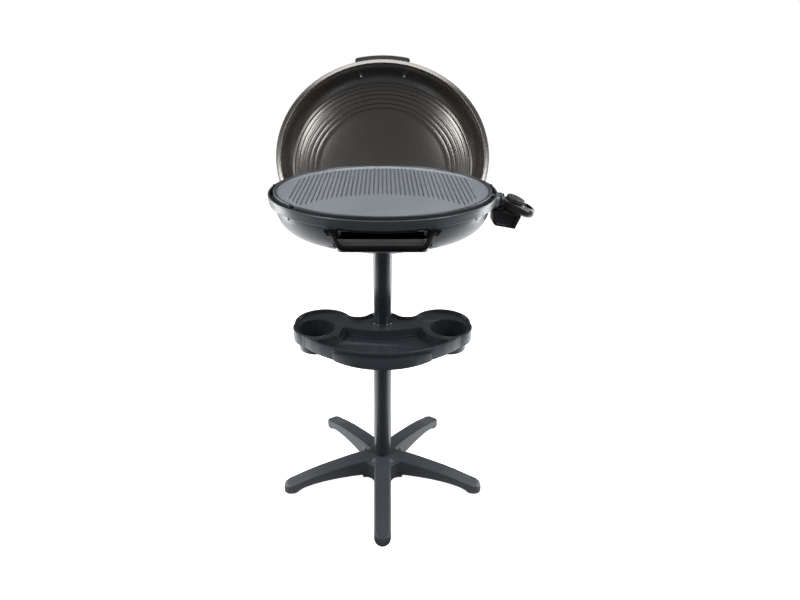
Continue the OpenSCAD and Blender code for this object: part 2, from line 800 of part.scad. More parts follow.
// Repeats its children at the two feet of the lid handle, +X pointing out of the dome
module at_handle_feet() {
    foot_angle = asin(handle_post_x / dome_r);
    for (s = [-1, 1]) rotate([0, 0, -90 + s * foot_angle]) translate([0, 0, grip_z]) children();
}

module rounded_bar(w, h, r) {
    polygon(concat(arc([w / 2 - r, h / 2 - r], r, 0, 90, 4), arc([r - w / 2, h / 2 - r], r, 90, 180, 4),
                   arc([r - w / 2, r - h / 2], r, 180, 270, 4), arc([w / 2 - r, r - h / 2], r, 270, 360, 4)));
}

module lid_handle() {
    span = 2 * asin(lid_grip_w / 2 / grip_r);
    color("#202122") swing_open() {
        rotate([0, 0, -90 - span / 2]) rotate_extrude(angle = span) translate([grip_r, grip_z])
            rounded_bar(grip_size.x, grip_size.y, 5);
        for (s = [-1, 1]) rotate([0, 0, -90 + s * span / 2]) translate([grip_r, 0, grip_z - grip_size.y / 2 + 1])
            cylinder(d = grip_size.x - 2, h = grip_size.y - 2);
        at_handle_feet() lying_x(dome_r + 5, grip_r - 2, post_w / 2);
    }
}

// Half space inside the dome wall at a handle foot
module behind_foot() {
    slope = 19.6;
    wall_x = dome_r - 0.75;
    translate([wall_x, 0, 0]) rotate([0, -slope, 0]) translate([-40, -20, -20]) cube(40);
}

module handle_spacers() {
    color("#2d2e30") swing_open() at_handle_feet() difference() {
        lying_x(dome_r - 6, dome_r + 5, post_w / 2 + 1.5);
        behind_foot();
        lying_x(dome_r - 8, dome_r + 6, handle_screw_r + fit);
    }
}

module handle_screws() {
    color("#d4d6d8") swing_open() at_handle_feet() {
        lying_x(dome_r - 9.5, dome_r - 6.5, 4.6);
        lying_x(dome_r - 7, dome_r + 4.8, handle_screw_r);
    }
}

module arm_screw_axes() {
    for (x = [arm_x - 4, arm_x - 12]) translate([x, sqrt(pow(lid_r - 5.5, 2) - x * x), 0]) children();
}

module hinge_arms() {
    foot_top = -hinge_rel_z;
    color("#2b2e31") swing_open() both_sides() difference() {
        intersection() {
            translate([0, hinge_y, hinge_rel_z]) {
                translate([arm_x, 0, 0]) rotate([90, 0, 90]) linear_extrude(arm_t) {
                    circle(arm_r);
                    polygon([[-9.2, 6], [arm_foot.x, foot_top], [arm_foot.y, foot_top], arm_edge[1], arm_edge[0]]);
                }
                translate([arm_x - 18, arm_foot.x, foot_top - arm_foot_t])
                    cube([arm_t + 18, arm_foot.y - arm_foot.x, arm_foot_t]);
            }
            translate([0, 0, hinge_rel_z - 20]) tube(lid_r - 1, bowl_r + 2.5, 60);
        }
        translate([0, 0, -1.6]) tube(lid_r - flange_w + 0.4, dome_r - 4, 3);
        translate([0, hinge_y, hinge_rel_z]) lying_x(arm_x - 1, arm_x + arm_t + 1, hinge_pin_d / 2 + 0.05);
        arm_screw_axes() translate([0, 0, -arm_foot_t - 1]) cylinder(r = arm_screw_r + fit, h = arm_foot_t + 2);
    }
}

module arm_screws() {
    color("#b9bcc0") swing_open() both_sides() arm_screw_axes() {
        translate([0, 0, -arm_foot_t - 2]) cylinder(r = 3.4, h = 2);
        translate([0, 0, -arm_foot_t - 1]) cylinder(r = arm_screw_r, h = arm_foot_t + 4.5);
    }
}

// Thermostat controller

// Local frame of the grip: origin at the end of the neck, +X along the grip, +Z out of the knob face
module in_grip() {
    translate([grip_x, 0, element_z]) rotate([0, grip_tilt, 0]) rotate([grip_roll, 0, 0]) children();
}

module controller_grip() {
    loop_r = 27;
    half_t = grip_t / 2;
    hole = [13, 28];
    color("#26282b") in_grip() difference() {
        hull() {
            translate([grip_l - loop_r, 0, 0]) rotate_extrude($fn = 48) translate([loop_r - half_t, 0])
                circle(half_t, $fn = 32);
            translate([3, 0, 0]) rotate([0, 90, 0]) cylinder(r = half_t, h = 1, $fn = 32);
            translate([knob_at - 2, 0, 0]) cylinder(r = knob_at - 6, h = grip_t - 6, center = true, $fn = 48);
        }
        translate([knob_at + knob_d / 2 + 5, 0, -grip_t]) {
            translate([0, -hole.y / 2 + 6, 0]) cube([hole.x, hole.y - 12, 2 * grip_t]);
            for (y = [-1, 1]) translate([hole.x / 2, y * (hole.y / 2 - 6), 0])
                cylinder(d = hole.x, h = 2 * grip_t, $fn = 32);
        }
        translate([knob_at, 0, half_t - 1.5]) cylinder(d = knob_d + 2, h = 10);
        translate([knob_at, 0, -6]) cylinder(r = 10, h = 12);
        translate([knob_at, 0, 0]) cylinder(r = shaft_r + 0.05, h = grip_t);
        lamp_place() cylinder(r = 2.6, h = 10);
    }
}

module lamp_place() {
    translate([knob_at + 17, 2 - knob_d / 2, 4]) children();
}

module pilot_lamp() {
    color("#c8c2b4") in_grip() lamp_place() {
        cylinder(r = 2.5, h = grip_t / 2 - 4);
        translate([0, 0, grip_t / 2 - 4]) cylinder(r1 = 2.5, r2 = 1.5, h = 1);
    }
}

module controller_neck() {
    collar_x = socket_x + 0.6;
    color("#1d1e20") difference() {
        union() {
            translate([0, 0, element_z]) lying_x(neck_x, grip_x + 1.4, shroud_bore - loose);
            for (i = [0 : 1]) translate([0, 0, element_z]) lying_x(collar_x + 3 * i, collar_x + 3 * i + 2, shroud_bore + 1.2);
        }
        for (y = [-terminal_y, terminal_y]) translate([0, y, element_z]) lying_x(neck_x - 1, grip_x - 2, pin_r + loose);
        translate([0, 0, element_z]) lying_x(neck_x - 1, grip_x - 3, 2.55);
        in_grip() translate([3, -50, -50]) cube(100);
    }
}

module controller_box() {
    half_w = 21;
    color("#17181a") difference() {
        translate([0, half_w, element_z]) rotate([90, 0, 0]) linear_extrude(2 * half_w)
            polygon([[245, -19], [262, -19], [310, -12], [307, -30], [295, -60], [250, -52], [245, -46]]);
        in_grip() translate([0, -50, -grip_t / 2 - 0.15]) cube([100, 100, 60]);
        translate([0, -half_w + 3, element_z]) rotate([90, 0, 0]) linear_extrude(4)
            polygon([[249, -23], [262, -23], [296, -32], [288, -55], [254, -48]]);
        translate([270, half_w + 1, element_z - 36]) rotate([90, 0, 0]) cylinder(r = 6, h = 8);
    }
}

module cord_inlet() {
    color("#17181a") translate([270, 21, element_z - 36]) rotate([-90, 0, 0]) difference() {
        union() {
            translate([0, 0, -6.5]) cylinder(r = 5.9, h = 7);
            cylinder(r = 8.5, h = 3);
            translate([0, 0, 3]) cylinder(r1 = 7, r2 = 6, h = 7);
        }
        translate([0, 0, -2]) cylinder(r = 3.6, h = 20);
    }
}

module thermostat_probe() {
    color("#c9ccd0") translate([0, 0, element_z]) {
        lying_x(196, grip_x - 3.2, 2.5);
        translate([196, 0, 0]) sphere(2.5);
    }
}

module thermostat_switch() {
    color("#d8d4c8") in_grip() translate([knob_at, 0, -5.8]) cylinder(r = 9.6, h = 5.6);
}

module control_knob() {
    base = grip_t / 2 - 1.5 + knob_gap;
    color("#151617") in_grip() translate([knob_at, 0, base]) difference() {
        union() {
            cylinder(d1 = knob_d, d2 = knob_d - 2, h = knob_h - 1.5);
            translate([0, 0, knob_h - 1.5]) cylinder(d1 = knob_d - 2, d2 = knob_d - 6, h = 1.5);
            ring_of(30, knob_d / 2 - 1.6) cylinder(r = 1.6, h = knob_h - 2, $fn = 16);
        }
        translate([0, 0, -1]) cylinder(r = shaft_r + 0.02, h = knob_h - 2);
        translate([-1, 8, knob_h - 0.8]) cube([2, 10, 2]);
    }
}

module knob_shaft() {
    color("#b9bcc0") in_grip() translate([knob_at, 0, 0.2])
        cylinder(r = shaft_r, h = grip_t / 2 + knob_h - 5);
}

base_star();
foot_pads();
base_bolt();
tube_plug();
lower_tube();
upper_tube();
tube_sleeve();
condiment_tray();
tray_collar();
collar_screws();
pole_socket();
socket_screws();
socket_nuts();
bowl();
rim_bumpers();
plate_rests();
rest_screws();
reflector();
heating_element();
element_clips();
terminal_block();
terminal_pins();
socket_shroud();
drip_rails();
hinge_brackets();
hinge_pins();
grill_plate();
drip_tray();
drip_handle();
handle_lugs();
handle_rivets();
lid_shell();
lid_handle();
handle_spacers();
handle_screws();
hinge_arms();
arm_screws();
controller_grip();
controller_neck();
controller_box();
cord_inlet();
thermostat_probe();
thermostat_switch();
pilot_lamp();
control_knob();
knob_shaft();
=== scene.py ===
"""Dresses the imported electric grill: detailed pieces, finishes, studio and camera."""

import logging
from collections.abc import Sequence
from dataclasses import dataclass, field
from enum import Enum
from math import atan2, cos, degrees, pi, radians, sin, sqrt

import bmesh
import bpy
from mathutils import Matrix, Vector


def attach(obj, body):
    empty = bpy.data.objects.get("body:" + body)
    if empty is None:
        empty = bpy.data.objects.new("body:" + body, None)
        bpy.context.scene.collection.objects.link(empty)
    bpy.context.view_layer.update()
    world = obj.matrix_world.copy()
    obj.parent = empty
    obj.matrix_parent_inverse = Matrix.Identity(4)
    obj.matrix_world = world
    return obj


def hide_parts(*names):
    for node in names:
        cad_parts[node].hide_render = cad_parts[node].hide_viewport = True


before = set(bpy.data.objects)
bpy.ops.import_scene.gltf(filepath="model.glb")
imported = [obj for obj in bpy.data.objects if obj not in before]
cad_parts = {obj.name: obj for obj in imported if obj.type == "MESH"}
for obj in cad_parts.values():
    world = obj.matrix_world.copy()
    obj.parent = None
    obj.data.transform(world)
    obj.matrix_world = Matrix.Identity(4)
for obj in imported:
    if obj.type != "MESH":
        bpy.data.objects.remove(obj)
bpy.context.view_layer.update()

log = logging.getLogger("grill")
MM = 0.001
Point2 = tuple[float, float]
Point3 = tuple[float, float, float]
WHITE = (1.0, 1.0, 1.0, 1.0)

# Distances in millimetres below which vertices count as one, and the bend in degrees within a flat face
WELD = 0.001
COPY_WELD = 0.002
TINY = 1e-6
FLAT_BEND = 0.6

# Noise, brushing, painted edge highlight, painted rim shade and bump values that the finishes share
NOISE_DETAIL = 3.0
NOISE_MIDDLE = 0.5
FINE_SHARE = 0.6
BRUSH_DETAIL = 4.0
BRUSH_STRETCH = (60.0, 60.0, 1400.0)
HIGHLIGHT_START = 0.52
HIGHLIGHT_FULL = 0.62
RIM_SHADE_BLUR = 0.0012
COAT_ROUGHNESS = 0.18
BUMP_STRENGTH = 0.6

# How far each round of smoothing moves a moulded skin towards its neighbours
SOFTEN = 0.5


class Body(Enum):
    """Rigid bodies of the grill, by their names in the frame."""

    STAND = "stand"
    HEAD = "head"
    PLATE = "plate"
    DRAWER = "drip_drawer"
    LID = "lid"
    CONTROLLER = "controller"
    KNOB = "knob"


# Shader node groups that several finishes share


def add_node(tree: bpy.types.NodeTree, kind: str, values: dict[str | int, object] | None = None,
             **settings: object) -> bpy.types.Node:
    """Adds a node to a tree with some of its settings and input values.

    Args:
        tree: tree that gets the node.
        kind: type of the node.
        values: input values, by the inputs' names or numbers.
        **settings: values of the node's own properties.

    Returns:
        The new node.
    """
    made = tree.nodes.new(kind)
    for key, value in settings.items():
        setattr(made, key, value)
    for key, value in (values or {}).items():
        made.inputs[key].default_value = value
    return made


class GroupBuilder:
    """Builds one shader node group with named inputs and outputs."""

    def __init__(self, name: str) -> None:
        """Starts an empty group.

        Args:
            name: name of the node group.
        """
        self.tree = bpy.data.node_groups.new(name, "ShaderNodeTree")
        self.source = self.tree.nodes.new("NodeGroupInput")
        self.sink = self.tree.nodes.new("NodeGroupOutput")

    def value_in(self, name: str, default: float) -> bpy.types.NodeSocket:
        """Adds a number input.

        Args:
            name: name of the input.
            default: its value where nothing is set.

        Returns:
            Its socket inside the group.
        """
        item = self.tree.interface.new_socket(name, in_out="INPUT", socket_type="NodeSocketFloat")
        item.default_value = default
        return self.source.outputs[name]

    def colour_in(self, name: str) -> bpy.types.NodeSocket:
        """Adds a colour input and returns its socket inside the group."""
        self.tree.interface.new_socket(name, in_out="INPUT", socket_type="NodeSocketColor")
        return self.source.outputs[name]

    def out(self, name: str, kind: str, socket: bpy.types.NodeSocket) -> None:
        """Adds an output that carries a socket's value."""
        self.tree.interface.new_socket(name, in_out="OUTPUT", socket_type=kind)
        self.tree.links.new(socket, self.sink.inputs[name])

    def node(self, kind: str, values: dict[str | int, object] | None = None,
             **settings: object) -> bpy.types.Node:
        """Adds a node with some of its settings and input values."""
        return add_node(self.tree, kind, values, **settings)

    def link(self, a: bpy.types.NodeSocket, b: bpy.types.NodeSocket) -> None:
        """Joins two sockets."""
        self.tree.links.new(a, b)

    def math(self, kind: str, a: object, b: object) -> bpy.types.NodeSocket:
        """Adds a math node.

        Args:
            kind: the operation.
            a: first socket or number.
            b: second socket or number.

        Returns:
            The result's socket.
        """
        made = self.node("ShaderNodeMath", operation=kind)
        for slot_number, value in enumerate((a, b)):
            if isinstance(value, (int, float)):
                made.inputs[slot_number].default_value = value
            else:
                self.link(value, made.inputs[slot_number])
        return made.outputs[0]

    def shaded(self, colour: bpy.types.NodeSocket, gain: bpy.types.NodeSocket) -> bpy.types.NodeSocket:
        """Multiplies a colour by a number.

        Args:
            colour: the colour's socket.
            gain: the number's socket.

        Returns:
            The socket of the shaded colour.
        """
        made = self.node("ShaderNodeVectorMath", operation="SCALE")
        self.link(colour, made.inputs[0])
        self.link(gain, made.inputs["Scale"])
        return made.outputs["Vector"]


def build_grain_group() -> bpy.types.NodeTree:
    """Makes the group for cast, coated and moulded skins.

    Returns:
        A group that gives a mottled colour, a roughness and a bump height.
    """
    group = GroupBuilder("skin_grain")
    base = group.colour_in("Colour")
    rough = group.value_in("Roughness", 0.5)
    mottle = group.value_in("Mottle", 0.12)
    cloud_scale = group.value_in("Cloud Scale", 18.0)
    grain_scale = group.value_in("Grain Scale", 900.0)
    spread = group.value_in("Roughness Spread", 0.12)
    place_of = group.node("ShaderNodeTexCoord").outputs["Object"]
    cloud = group.node("ShaderNodeTexNoise", {"Detail": NOISE_DETAIL})
    grain = group.node("ShaderNodeTexNoise", {"Detail": NOISE_DETAIL})
    for noise, scale in ((cloud, cloud_scale), (grain, grain_scale)):
        group.link(place_of, noise.inputs["Vector"])
        group.link(scale, noise.inputs["Scale"])
    coarse = group.math("SUBTRACT", cloud.outputs["Fac"], NOISE_MIDDLE)
    fine = group.math("SUBTRACT", grain.outputs["Fac"], NOISE_MIDDLE)
    both = group.math("ADD", coarse, group.math("MULTIPLY", fine, FINE_SHARE))
    gain = group.math("ADD", group.math("MULTIPLY", both, mottle), 1.0)
    change = group.math("MULTIPLY", both, spread)
    group.out("Colour", "NodeSocketColor", group.shaded(base, gain))
    group.out("Roughness", "NodeSocketFloat", group.math("ADD", rough, change))
    group.out("Height", "NodeSocketFloat", grain.outputs["Fac"])
    return group.tree


def build_brush_group() -> bpy.types.NodeTree:
    """Makes the group for drawn and brushed metal.

    Returns:
        A group that gives a streaked colour, a roughness and a bump height.
    """
    group = GroupBuilder("brush_lines")
    base = group.colour_in("Colour")
    rough = group.value_in("Roughness", 0.35)
    strength = group.value_in("Strength", 0.2)
    stretch = group.node("ShaderNodeMapping", {"Scale": BRUSH_STRETCH})
    lines = group.node("ShaderNodeTexNoise", {"Scale": 1.0, "Detail": BRUSH_DETAIL})
    group.link(group.node("ShaderNodeTexCoord").outputs["Object"], stretch.inputs["Vector"])
    group.link(stretch.outputs["Vector"], lines.inputs["Vector"])
    centred = group.math("SUBTRACT", lines.outputs["Fac"], NOISE_MIDDLE)
    change = group.math("MULTIPLY", centred, strength)
    group.out("Colour", "NodeSocketColor", group.shaded(base, group.math("ADD", change, 1.0)))
    group.out("Roughness", "NodeSocketFloat", group.math("ADD", rough, change))
    group.out("Height", "NodeSocketFloat", lines.outputs["Fac"])
    return group.tree


def build_edge_highlight_group() -> bpy.types.NodeTree:
    """Makes the group that paints highlights on convex edges.

    Returns:
        A group that mixes a lighter colour over a base colour by the surface's pointiness, as painted
        highlight.
    """
    group = GroupBuilder("painted_edge_highlights")
    base = group.colour_in("Colour")
    edge = group.colour_in("Highlight Colour")
    amount = group.value_in("Amount", 0.4)
    # Pointier convex edges get the lighter colour: painted highlight.
    point = group.node("ShaderNodeNewGeometry").outputs["Pointiness"]
    mask = group.node("ShaderNodeMapRange", {"From Min": HIGHLIGHT_START, "From Max": HIGHLIGHT_FULL})
    group.link(point, mask.inputs["Value"])
    factor = group.math("MULTIPLY", mask.outputs["Result"], amount)
    mix = group.node("ShaderNodeMix", data_type="RGBA")
    group.link(factor, mix.inputs["Factor"])
    group.link(base, mix.inputs["A"])
    group.link(edge, mix.inputs["B"])
    group.out("Colour", "NodeSocketColor", mix.outputs["Result"])
    return group.tree


def build_rim_shade_group() -> bpy.types.NodeTree:
    """Makes the group that paints shade on a round piece outside a radius.

    Returns:
        A group that darkens a colour by the distance from the piece's upright axis: painted shade.
    """
    group = GroupBuilder("painted_rim_shade")
    base = group.colour_in("Colour")
    radius = group.value_in("Radius", 0.23)
    shade = group.value_in("Shade", 0.3)
    place_of = group.node("ShaderNodeTexCoord").outputs["Object"]
    flat = group.node("ShaderNodeVectorMath", {1: (1, 1, 0)}, operation="MULTIPLY")
    group.link(place_of, flat.inputs[0])
    length = group.node("ShaderNodeVectorMath", operation="LENGTH")
    group.link(flat.outputs["Vector"], length.inputs[0])
    past = group.math("SUBTRACT", length.outputs["Value"], radius)
    mask = group.node("ShaderNodeMapRange", {"From Max": RIM_SHADE_BLUR, "To Min": 1.0})
    group.link(past, mask.inputs["Value"])
    group.link(shade, mask.inputs["To Max"])
    group.out("Colour", "NodeSocketColor", group.shaded(base, mask.outputs["Result"]))
    return group.tree


GRAIN_GROUP = build_grain_group()
BRUSH_GROUP = build_brush_group()
EDGE_HIGHLIGHT_GROUP = build_edge_highlight_group()
RIM_SHADE_GROUP = build_rim_shade_group()


@dataclass(frozen=True)
class Finish:
    """A coated, cast or moulded finish."""

    name: str
    slot: str
    colour: Point3
    roughness: float
    metallic: float = 0.0
    mottle: float = 0.15
    cloud_scale: float = 14.0
    grain_scale: float = 1100.0
    roughness_spread: float = 0.12
    bump: float = 0.00006
    coat: float = 0.0
    # Painted edge highlight: how much lighter, and how strongly, the convex edges are coloured.
    highlight_gain: float = 1.8
    highlight_amount: float = 0.35
    specular: float = 0.5
    # Painted shade: radius beyond which a round piece is darkened, and how dark it gets.
    rim_shade_radius: float = 0.0
    rim_shade_factor: float = 0.25

    def build(self) -> bpy.types.Material:
        """Makes the material.

        Returns:
            A node material on Object coordinates.
        """
        material = bpy.data.materials.new(self.name)
        material.use_nodes = True
        tree, links = material.node_tree, material.node_tree.links
        shader = tree.nodes["Principled BSDF"]
        shader.inputs["Metallic"].default_value = self.metallic
        shader.inputs["Coat Weight"].default_value = self.coat
        shader.inputs["Coat Roughness"].default_value = COAT_ROUGHNESS
        shader.inputs["Specular IOR Level"].default_value = self.specular
        colour, roughness, height = self.skin(tree)
        bump = add_node(tree, "ShaderNodeBump", {"Strength": BUMP_STRENGTH, "Distance": self.bump})
        links.new(colour, shader.inputs["Base Color"])
        links.new(roughness, shader.inputs["Roughness"])
        links.new(height, bump.inputs["Height"])
        links.new(bump.outputs["Normal"], shader.inputs["Normal"])
        return material

    def skin(self, tree: bpy.types.NodeTree) -> tuple[bpy.types.NodeSocket, ...]:
        """Adds the groups for what changes over the surface, with painted edge highlights and, where set, a
        painted rim shade.

        Args:
            tree: the material's tree.

        Returns:
            Sockets of colour, roughness and height.
        """
        grain = add_node(tree, "ShaderNodeGroup", node_tree=GRAIN_GROUP)
        grain.inputs["Colour"].default_value = (*self.colour, 1.0)
        grain.inputs["Roughness"].default_value = self.roughness
        grain.inputs["Mottle"].default_value = self.mottle
        grain.inputs["Cloud Scale"].default_value = self.cloud_scale
        grain.inputs["Grain Scale"].default_value = self.grain_scale
        grain.inputs["Roughness Spread"].default_value = self.roughness_spread
        # Convex edges are lightened: painted highlight.
        highlight_colour = [min(1.0, share * self.highlight_gain) for share in self.colour]
        edges = add_node(tree, "ShaderNodeGroup", node_tree=EDGE_HIGHLIGHT_GROUP)
        edges.inputs["Highlight Colour"].default_value = (*highlight_colour, 1.0)
        edges.inputs["Amount"].default_value = self.highlight_amount
        tree.links.new(grain.outputs["Colour"], edges.inputs["Colour"])
        colour = edges.outputs["Colour"]
        # Outside the radius the colour is darkened: painted shade.
        if self.rim_shade_radius > 0:
            ring = add_node(tree, "ShaderNodeGroup", node_tree=RIM_SHADE_GROUP)
            ring.inputs["Radius"].default_value = self.rim_shade_radius
            ring.inputs["Shade"].default_value = self.rim_shade_factor
            tree.links.new(colour, ring.inputs["Colour"])
            colour = ring.outputs["Colour"]
        return colour, grain.outputs["Roughness"], grain.outputs["Height"]


@dataclass(frozen=True)
class BrushedFinish(Finish):
    """Bare metal with drawn lines."""

    strength: float = 0.25

    def skin(self, tree: bpy.types.NodeTree) -> tuple[bpy.types.NodeSocket, ...]:
        """Adds the group for the drawn lines.

        Args:
            tree: the material's tree.

        Returns:
            Sockets of colour, roughness and height.
        """
        lines = add_node(tree, "ShaderNodeGroup", node_tree=BRUSH_GROUP)
        lines.inputs["Colour"].default_value = (*self.colour, 1.0)
        lines.inputs["Roughness"].default_value = self.roughness
        lines.inputs["Strength"].default_value = self.strength
        return lines.outputs["Colour"], lines.outputs["Roughness"], lines.outputs["Height"]


class Finishes(Enum):
    """Every finish on the grill."""

    STAND = Finish("stand_paint", "stand_paint", (0.034, 0.039, 0.046), 0.46, mottle=0.16, bump=0.0001)
    TUBE = Finish("tube_paint", "tube_paint", (0.100, 0.106, 0.115), 0.3, metallic=0.85, mottle=0.08,
                  roughness_spread=0.04)
    RUBBER = Finish("foot_rubber", "foot_rubber", (0.012, 0.012, 0.013), 0.75, bump=0.0001)
    STEEL = BrushedFinish("bolt_steel", "bolt_steel", (0.52, 0.53, 0.54), 0.28, metallic=1.0)
    BRACKET = BrushedFinish("bracket_steel", "bracket_steel", (0.36, 0.37, 0.39), 0.38, metallic=1.0)
    SHROUD = Finish("shroud_coating", "bracket_steel", (0.110, 0.116, 0.125), 0.3, metallic=0.3,
                    mottle=0.06)
    # The tray's strong edge values paint bright highlight lines along its edges.
    TRAY = Finish("tray_plastic", "tray_plastic", (0.034, 0.039, 0.046), 0.28, metallic=0.35, mottle=0.1,
                  grain_scale=1500.0, highlight_gain=3.0, highlight_amount=0.6)
    BOWL = Finish("bowl_coating", "bowl_coating", (0.046, 0.052, 0.061), 0.3, metallic=0.3, mottle=0.07)
    REFLECTOR = BrushedFinish("reflector_sheet", "reflector_sheet", (0.6, 0.61, 0.62), 0.3, metallic=1.0)
    ELEMENT = Finish("element_sheath", "element_sheath", (0.13, 0.12, 0.115), 0.5, metallic=0.7)
    CERAMIC = Finish("ceramic", "ceramic", (0.66, 0.62, 0.54), 0.3, coat=0.4, highlight_gain=1.1)
    HINGE = Finish("hinge_paint", "hinge_paint", (0.020, 0.022, 0.025), 0.4)
    # The plate's raised rim is darkened as painted shade.
    PLATE = Finish("plate_coating", "plate_coating", (0.245, 0.266, 0.296), 0.36, metallic=0.45,
                   mottle=0.12, cloud_scale=9.0, grain_scale=1400.0, bump=0.00005, highlight_gain=1.6,
                   rim_shade_radius=0.2293, rim_shade_factor=0.2)
    DRIP = BrushedFinish("drip_sheet", "drip_sheet", (0.26, 0.265, 0.275), 0.36, metallic=0.85,
                         strength=0.1)
    HANDLE = Finish("handle_plastic", "handle_plastic", (0.003, 0.003, 0.0035), 0.5, mottle=0.1,
                    specular=0.1)
    GRIP = Finish("grip_plastic", "handle_plastic", (0.008, 0.008, 0.009), 0.42, mottle=0.1, specular=0.25)
    LID = Finish("lid_coating", "lid_coating", (0.125, 0.119, 0.112), 0.27, metallic=0.85, mottle=0.05,
                 cloud_scale=6.0, bump=0.00003, highlight_gain=1.5)
    CONTROL = Finish("control_plastic", "control_plastic", (0.016, 0.017, 0.019), 0.3, mottle=0.08)
    BOX = Finish("box_plastic", "control_plastic", (0.008, 0.008, 0.010), 0.4, mottle=0.08, specular=0.35)
    GLAND = Finish("gland_rubber", "gland_rubber", (0.010, 0.010, 0.010), 0.6)
    LENS = Finish("lamp_lens", "lamp_lens", (0.42, 0.40, 0.37), 0.12, coat=0.6, highlight_gain=1.1)
    KNOB = Finish("knob_plastic", "knob_plastic", (0.010, 0.010, 0.011), 0.5, bump=0.0006,
                  grain_scale=380.0)


MATERIALS: dict[Finishes, bpy.types.Material] = {finish: finish.value.build() for finish in Finishes}


# Meshes


def arc(cx: float, cy: float, r: float, start: float, end: float, steps: int) -> list[Point2]:
    """Gives points on an arc.

    Args:
        cx: centre's first coordinate.
        cy: centre's second coordinate.
        r: radius.
        start: first angle in degrees.
        end: last angle in degrees.
        steps: number of straight steps.

    Returns:
        The points, both ends included.
    """
    turns = [radians(start + (end - start) * i / steps) for i in range(steps + 1)]
    return [(cx + r * cos(t), cy + r * sin(t)) for t in turns]


def circle(r: float, count: int) -> list[Point2]:
    """Gives the points of a circle about the origin."""
    return arc(0, 0, r, 0, 360 - 360 / count, count - 1)


def new_object(name: str, data: bpy.types.ID) -> bpy.types.Object:
    """Makes an object and puts it in the scene.

    Args:
        name: name of the object.
        data: its mesh, camera or lamp.

    Returns:
        The object.
    """
    made = bpy.data.objects.new(name, data)
    bpy.context.scene.collection.objects.link(made)
    return made


def from_bmesh(bm: bmesh.types.BMesh, name: str) -> bpy.types.Object:
    """Makes an object from an edited mesh, which is freed.

    Args:
        bm: the mesh, in metres.
        name: name of the object.

    Returns:
        The object.
    """
    mesh = bpy.data.meshes.new(name)
    bm.to_mesh(mesh)
    bm.free()
    return new_object(name, mesh)


def to_object(bm: bmesh.types.BMesh, name: str) -> bpy.types.Object:
    """Turns a mesh in millimetres into an object in metres with its faces outward.

    Args:
        bm: the mesh, which is freed.
        name: name of the piece.

    Returns:
        The object.
    """
    bmesh.ops.remove_doubles(bm, verts=bm.verts, dist=WELD)
    bmesh.ops.recalc_face_normals(bm, faces=bm.faces)
    bmesh.ops.scale(bm, vec=(MM, MM, MM), verts=bm.verts)
    return from_bmesh(bm, name)


def revolve(name: str, profile: Sequence[Point2], steps: int = 160) -> bpy.types.Object:
    """Turns a profile round the vertical axis.

    Args:
        name: name of the piece.
        profile: (radius, height) points in millimetres.
        steps: number of steps round the axis.

    Returns:
        The revolved object.
    """
    bm = bmesh.new()
    rings = []
    for k in range(steps):
        turn = 2 * pi * k / steps
        rings.append([bm.verts.new((r * cos(turn), r * sin(turn), z)) for r, z in profile])
    count = len(profile)
    for k in range(steps):
        here, there = rings[k], rings[(k + 1) % steps]
        for i in range(count):
            j = (i + 1) % count
            bm.faces.new((here[i], here[j], there[j], there[i]))
    bmesh.ops.remove_doubles(bm, verts=bm.verts, dist=WELD)
    bmesh.ops.dissolve_degenerate(bm, dist=WELD / 2, edges=bm.edges)
    return to_object(bm, name)


def prism(name: str, outline: Sequence[Point2], low: float, high: float) -> bpy.types.Object:
    """Raises a flat outline between two heights.

    Args:
        name: name of the piece.
        outline: points in millimetres, in order.
        low: lower height.
        high: upper height.

    Returns:
        The closed object.
    """
    bm = bmesh.new()
    face = bm.faces.new([bm.verts.new((x, y, low)) for x, y in outline])
    raised = bmesh.ops.extrude_face_region(bm, geom=[face])
    lifted = [v for v in raised["geom"] if isinstance(v, bmesh.types.BMVert)]
    bmesh.ops.translate(bm, vec=(0, 0, high - low), verts=lifted)
    return to_object(bm, name)


def rounded_rectangle(width: float, height: float, r: float, steps: int = 6) -> list[Point2]:
    """Gives the outline of a rectangle with round corners, about the origin.

    Args:
        width: size along the first axis.
        height: size along the second axis.
        r: radius of the corners.
        steps: number of straight steps round a corner.

    Returns:
        The outline's points, in order.
    """
    x, y = width / 2 - r, height / 2 - r
    corners = ((x, y, 0), (-x, y, 90), (-x, -y, 180), (x, -y, 270))
    return [p for cx, cy, a in corners for p in arc(cx, cy, r, a, a + 90, steps)]


def sweep(name: str, path: Sequence[Point3], section: Sequence[Point2]) -> bpy.types.Object:
    """Carries a section along a path.

    Args:
        name: name of the piece.
        path: points in millimetres.
        section: outline across the path: first coordinate sideways, second upward.

    Returns:
        The closed object.
    """
    bm = bmesh.new()
    spine = [Vector(p) for p in path]
    up = Vector((0, 0, 1))
    rings = []
    for i, here in enumerate(spine):
        before = spine[max(i - 1, 0)]
        after = spine[min(i + 1, len(spine) - 1)]
        along = (after - before).normalized()
        side = along.cross(up).normalized()
        lift = side.cross(along).normalized()
        rings.append([bm.verts.new(here + side * a + lift * b) for a, b in section])
    for here, there in zip(rings, rings[1:]):
        for k in range(len(section)):
            n = (k + 1) % len(section)
            bm.faces.new((here[k], here[n], there[n], there[k]))
    bm.faces.new(list(reversed(rings[0])))
    bm.faces.new(rings[-1])
    return to_object(bm, name)


def bake(piece: bpy.types.Object) -> bpy.types.Object:
    """Makes the piece's modifiers part of its mesh and takes them off.

    Args:
        piece: the piece with its modifiers.

    Returns:
        The same piece, with a plain mesh.
    """
    graph = bpy.context.evaluated_depsgraph_get()
    mesh = bpy.data.meshes.new_from_object(piece.evaluated_get(graph))
    piece.modifiers.clear()
    piece.data = mesh
    mesh.name = piece.name
    return piece


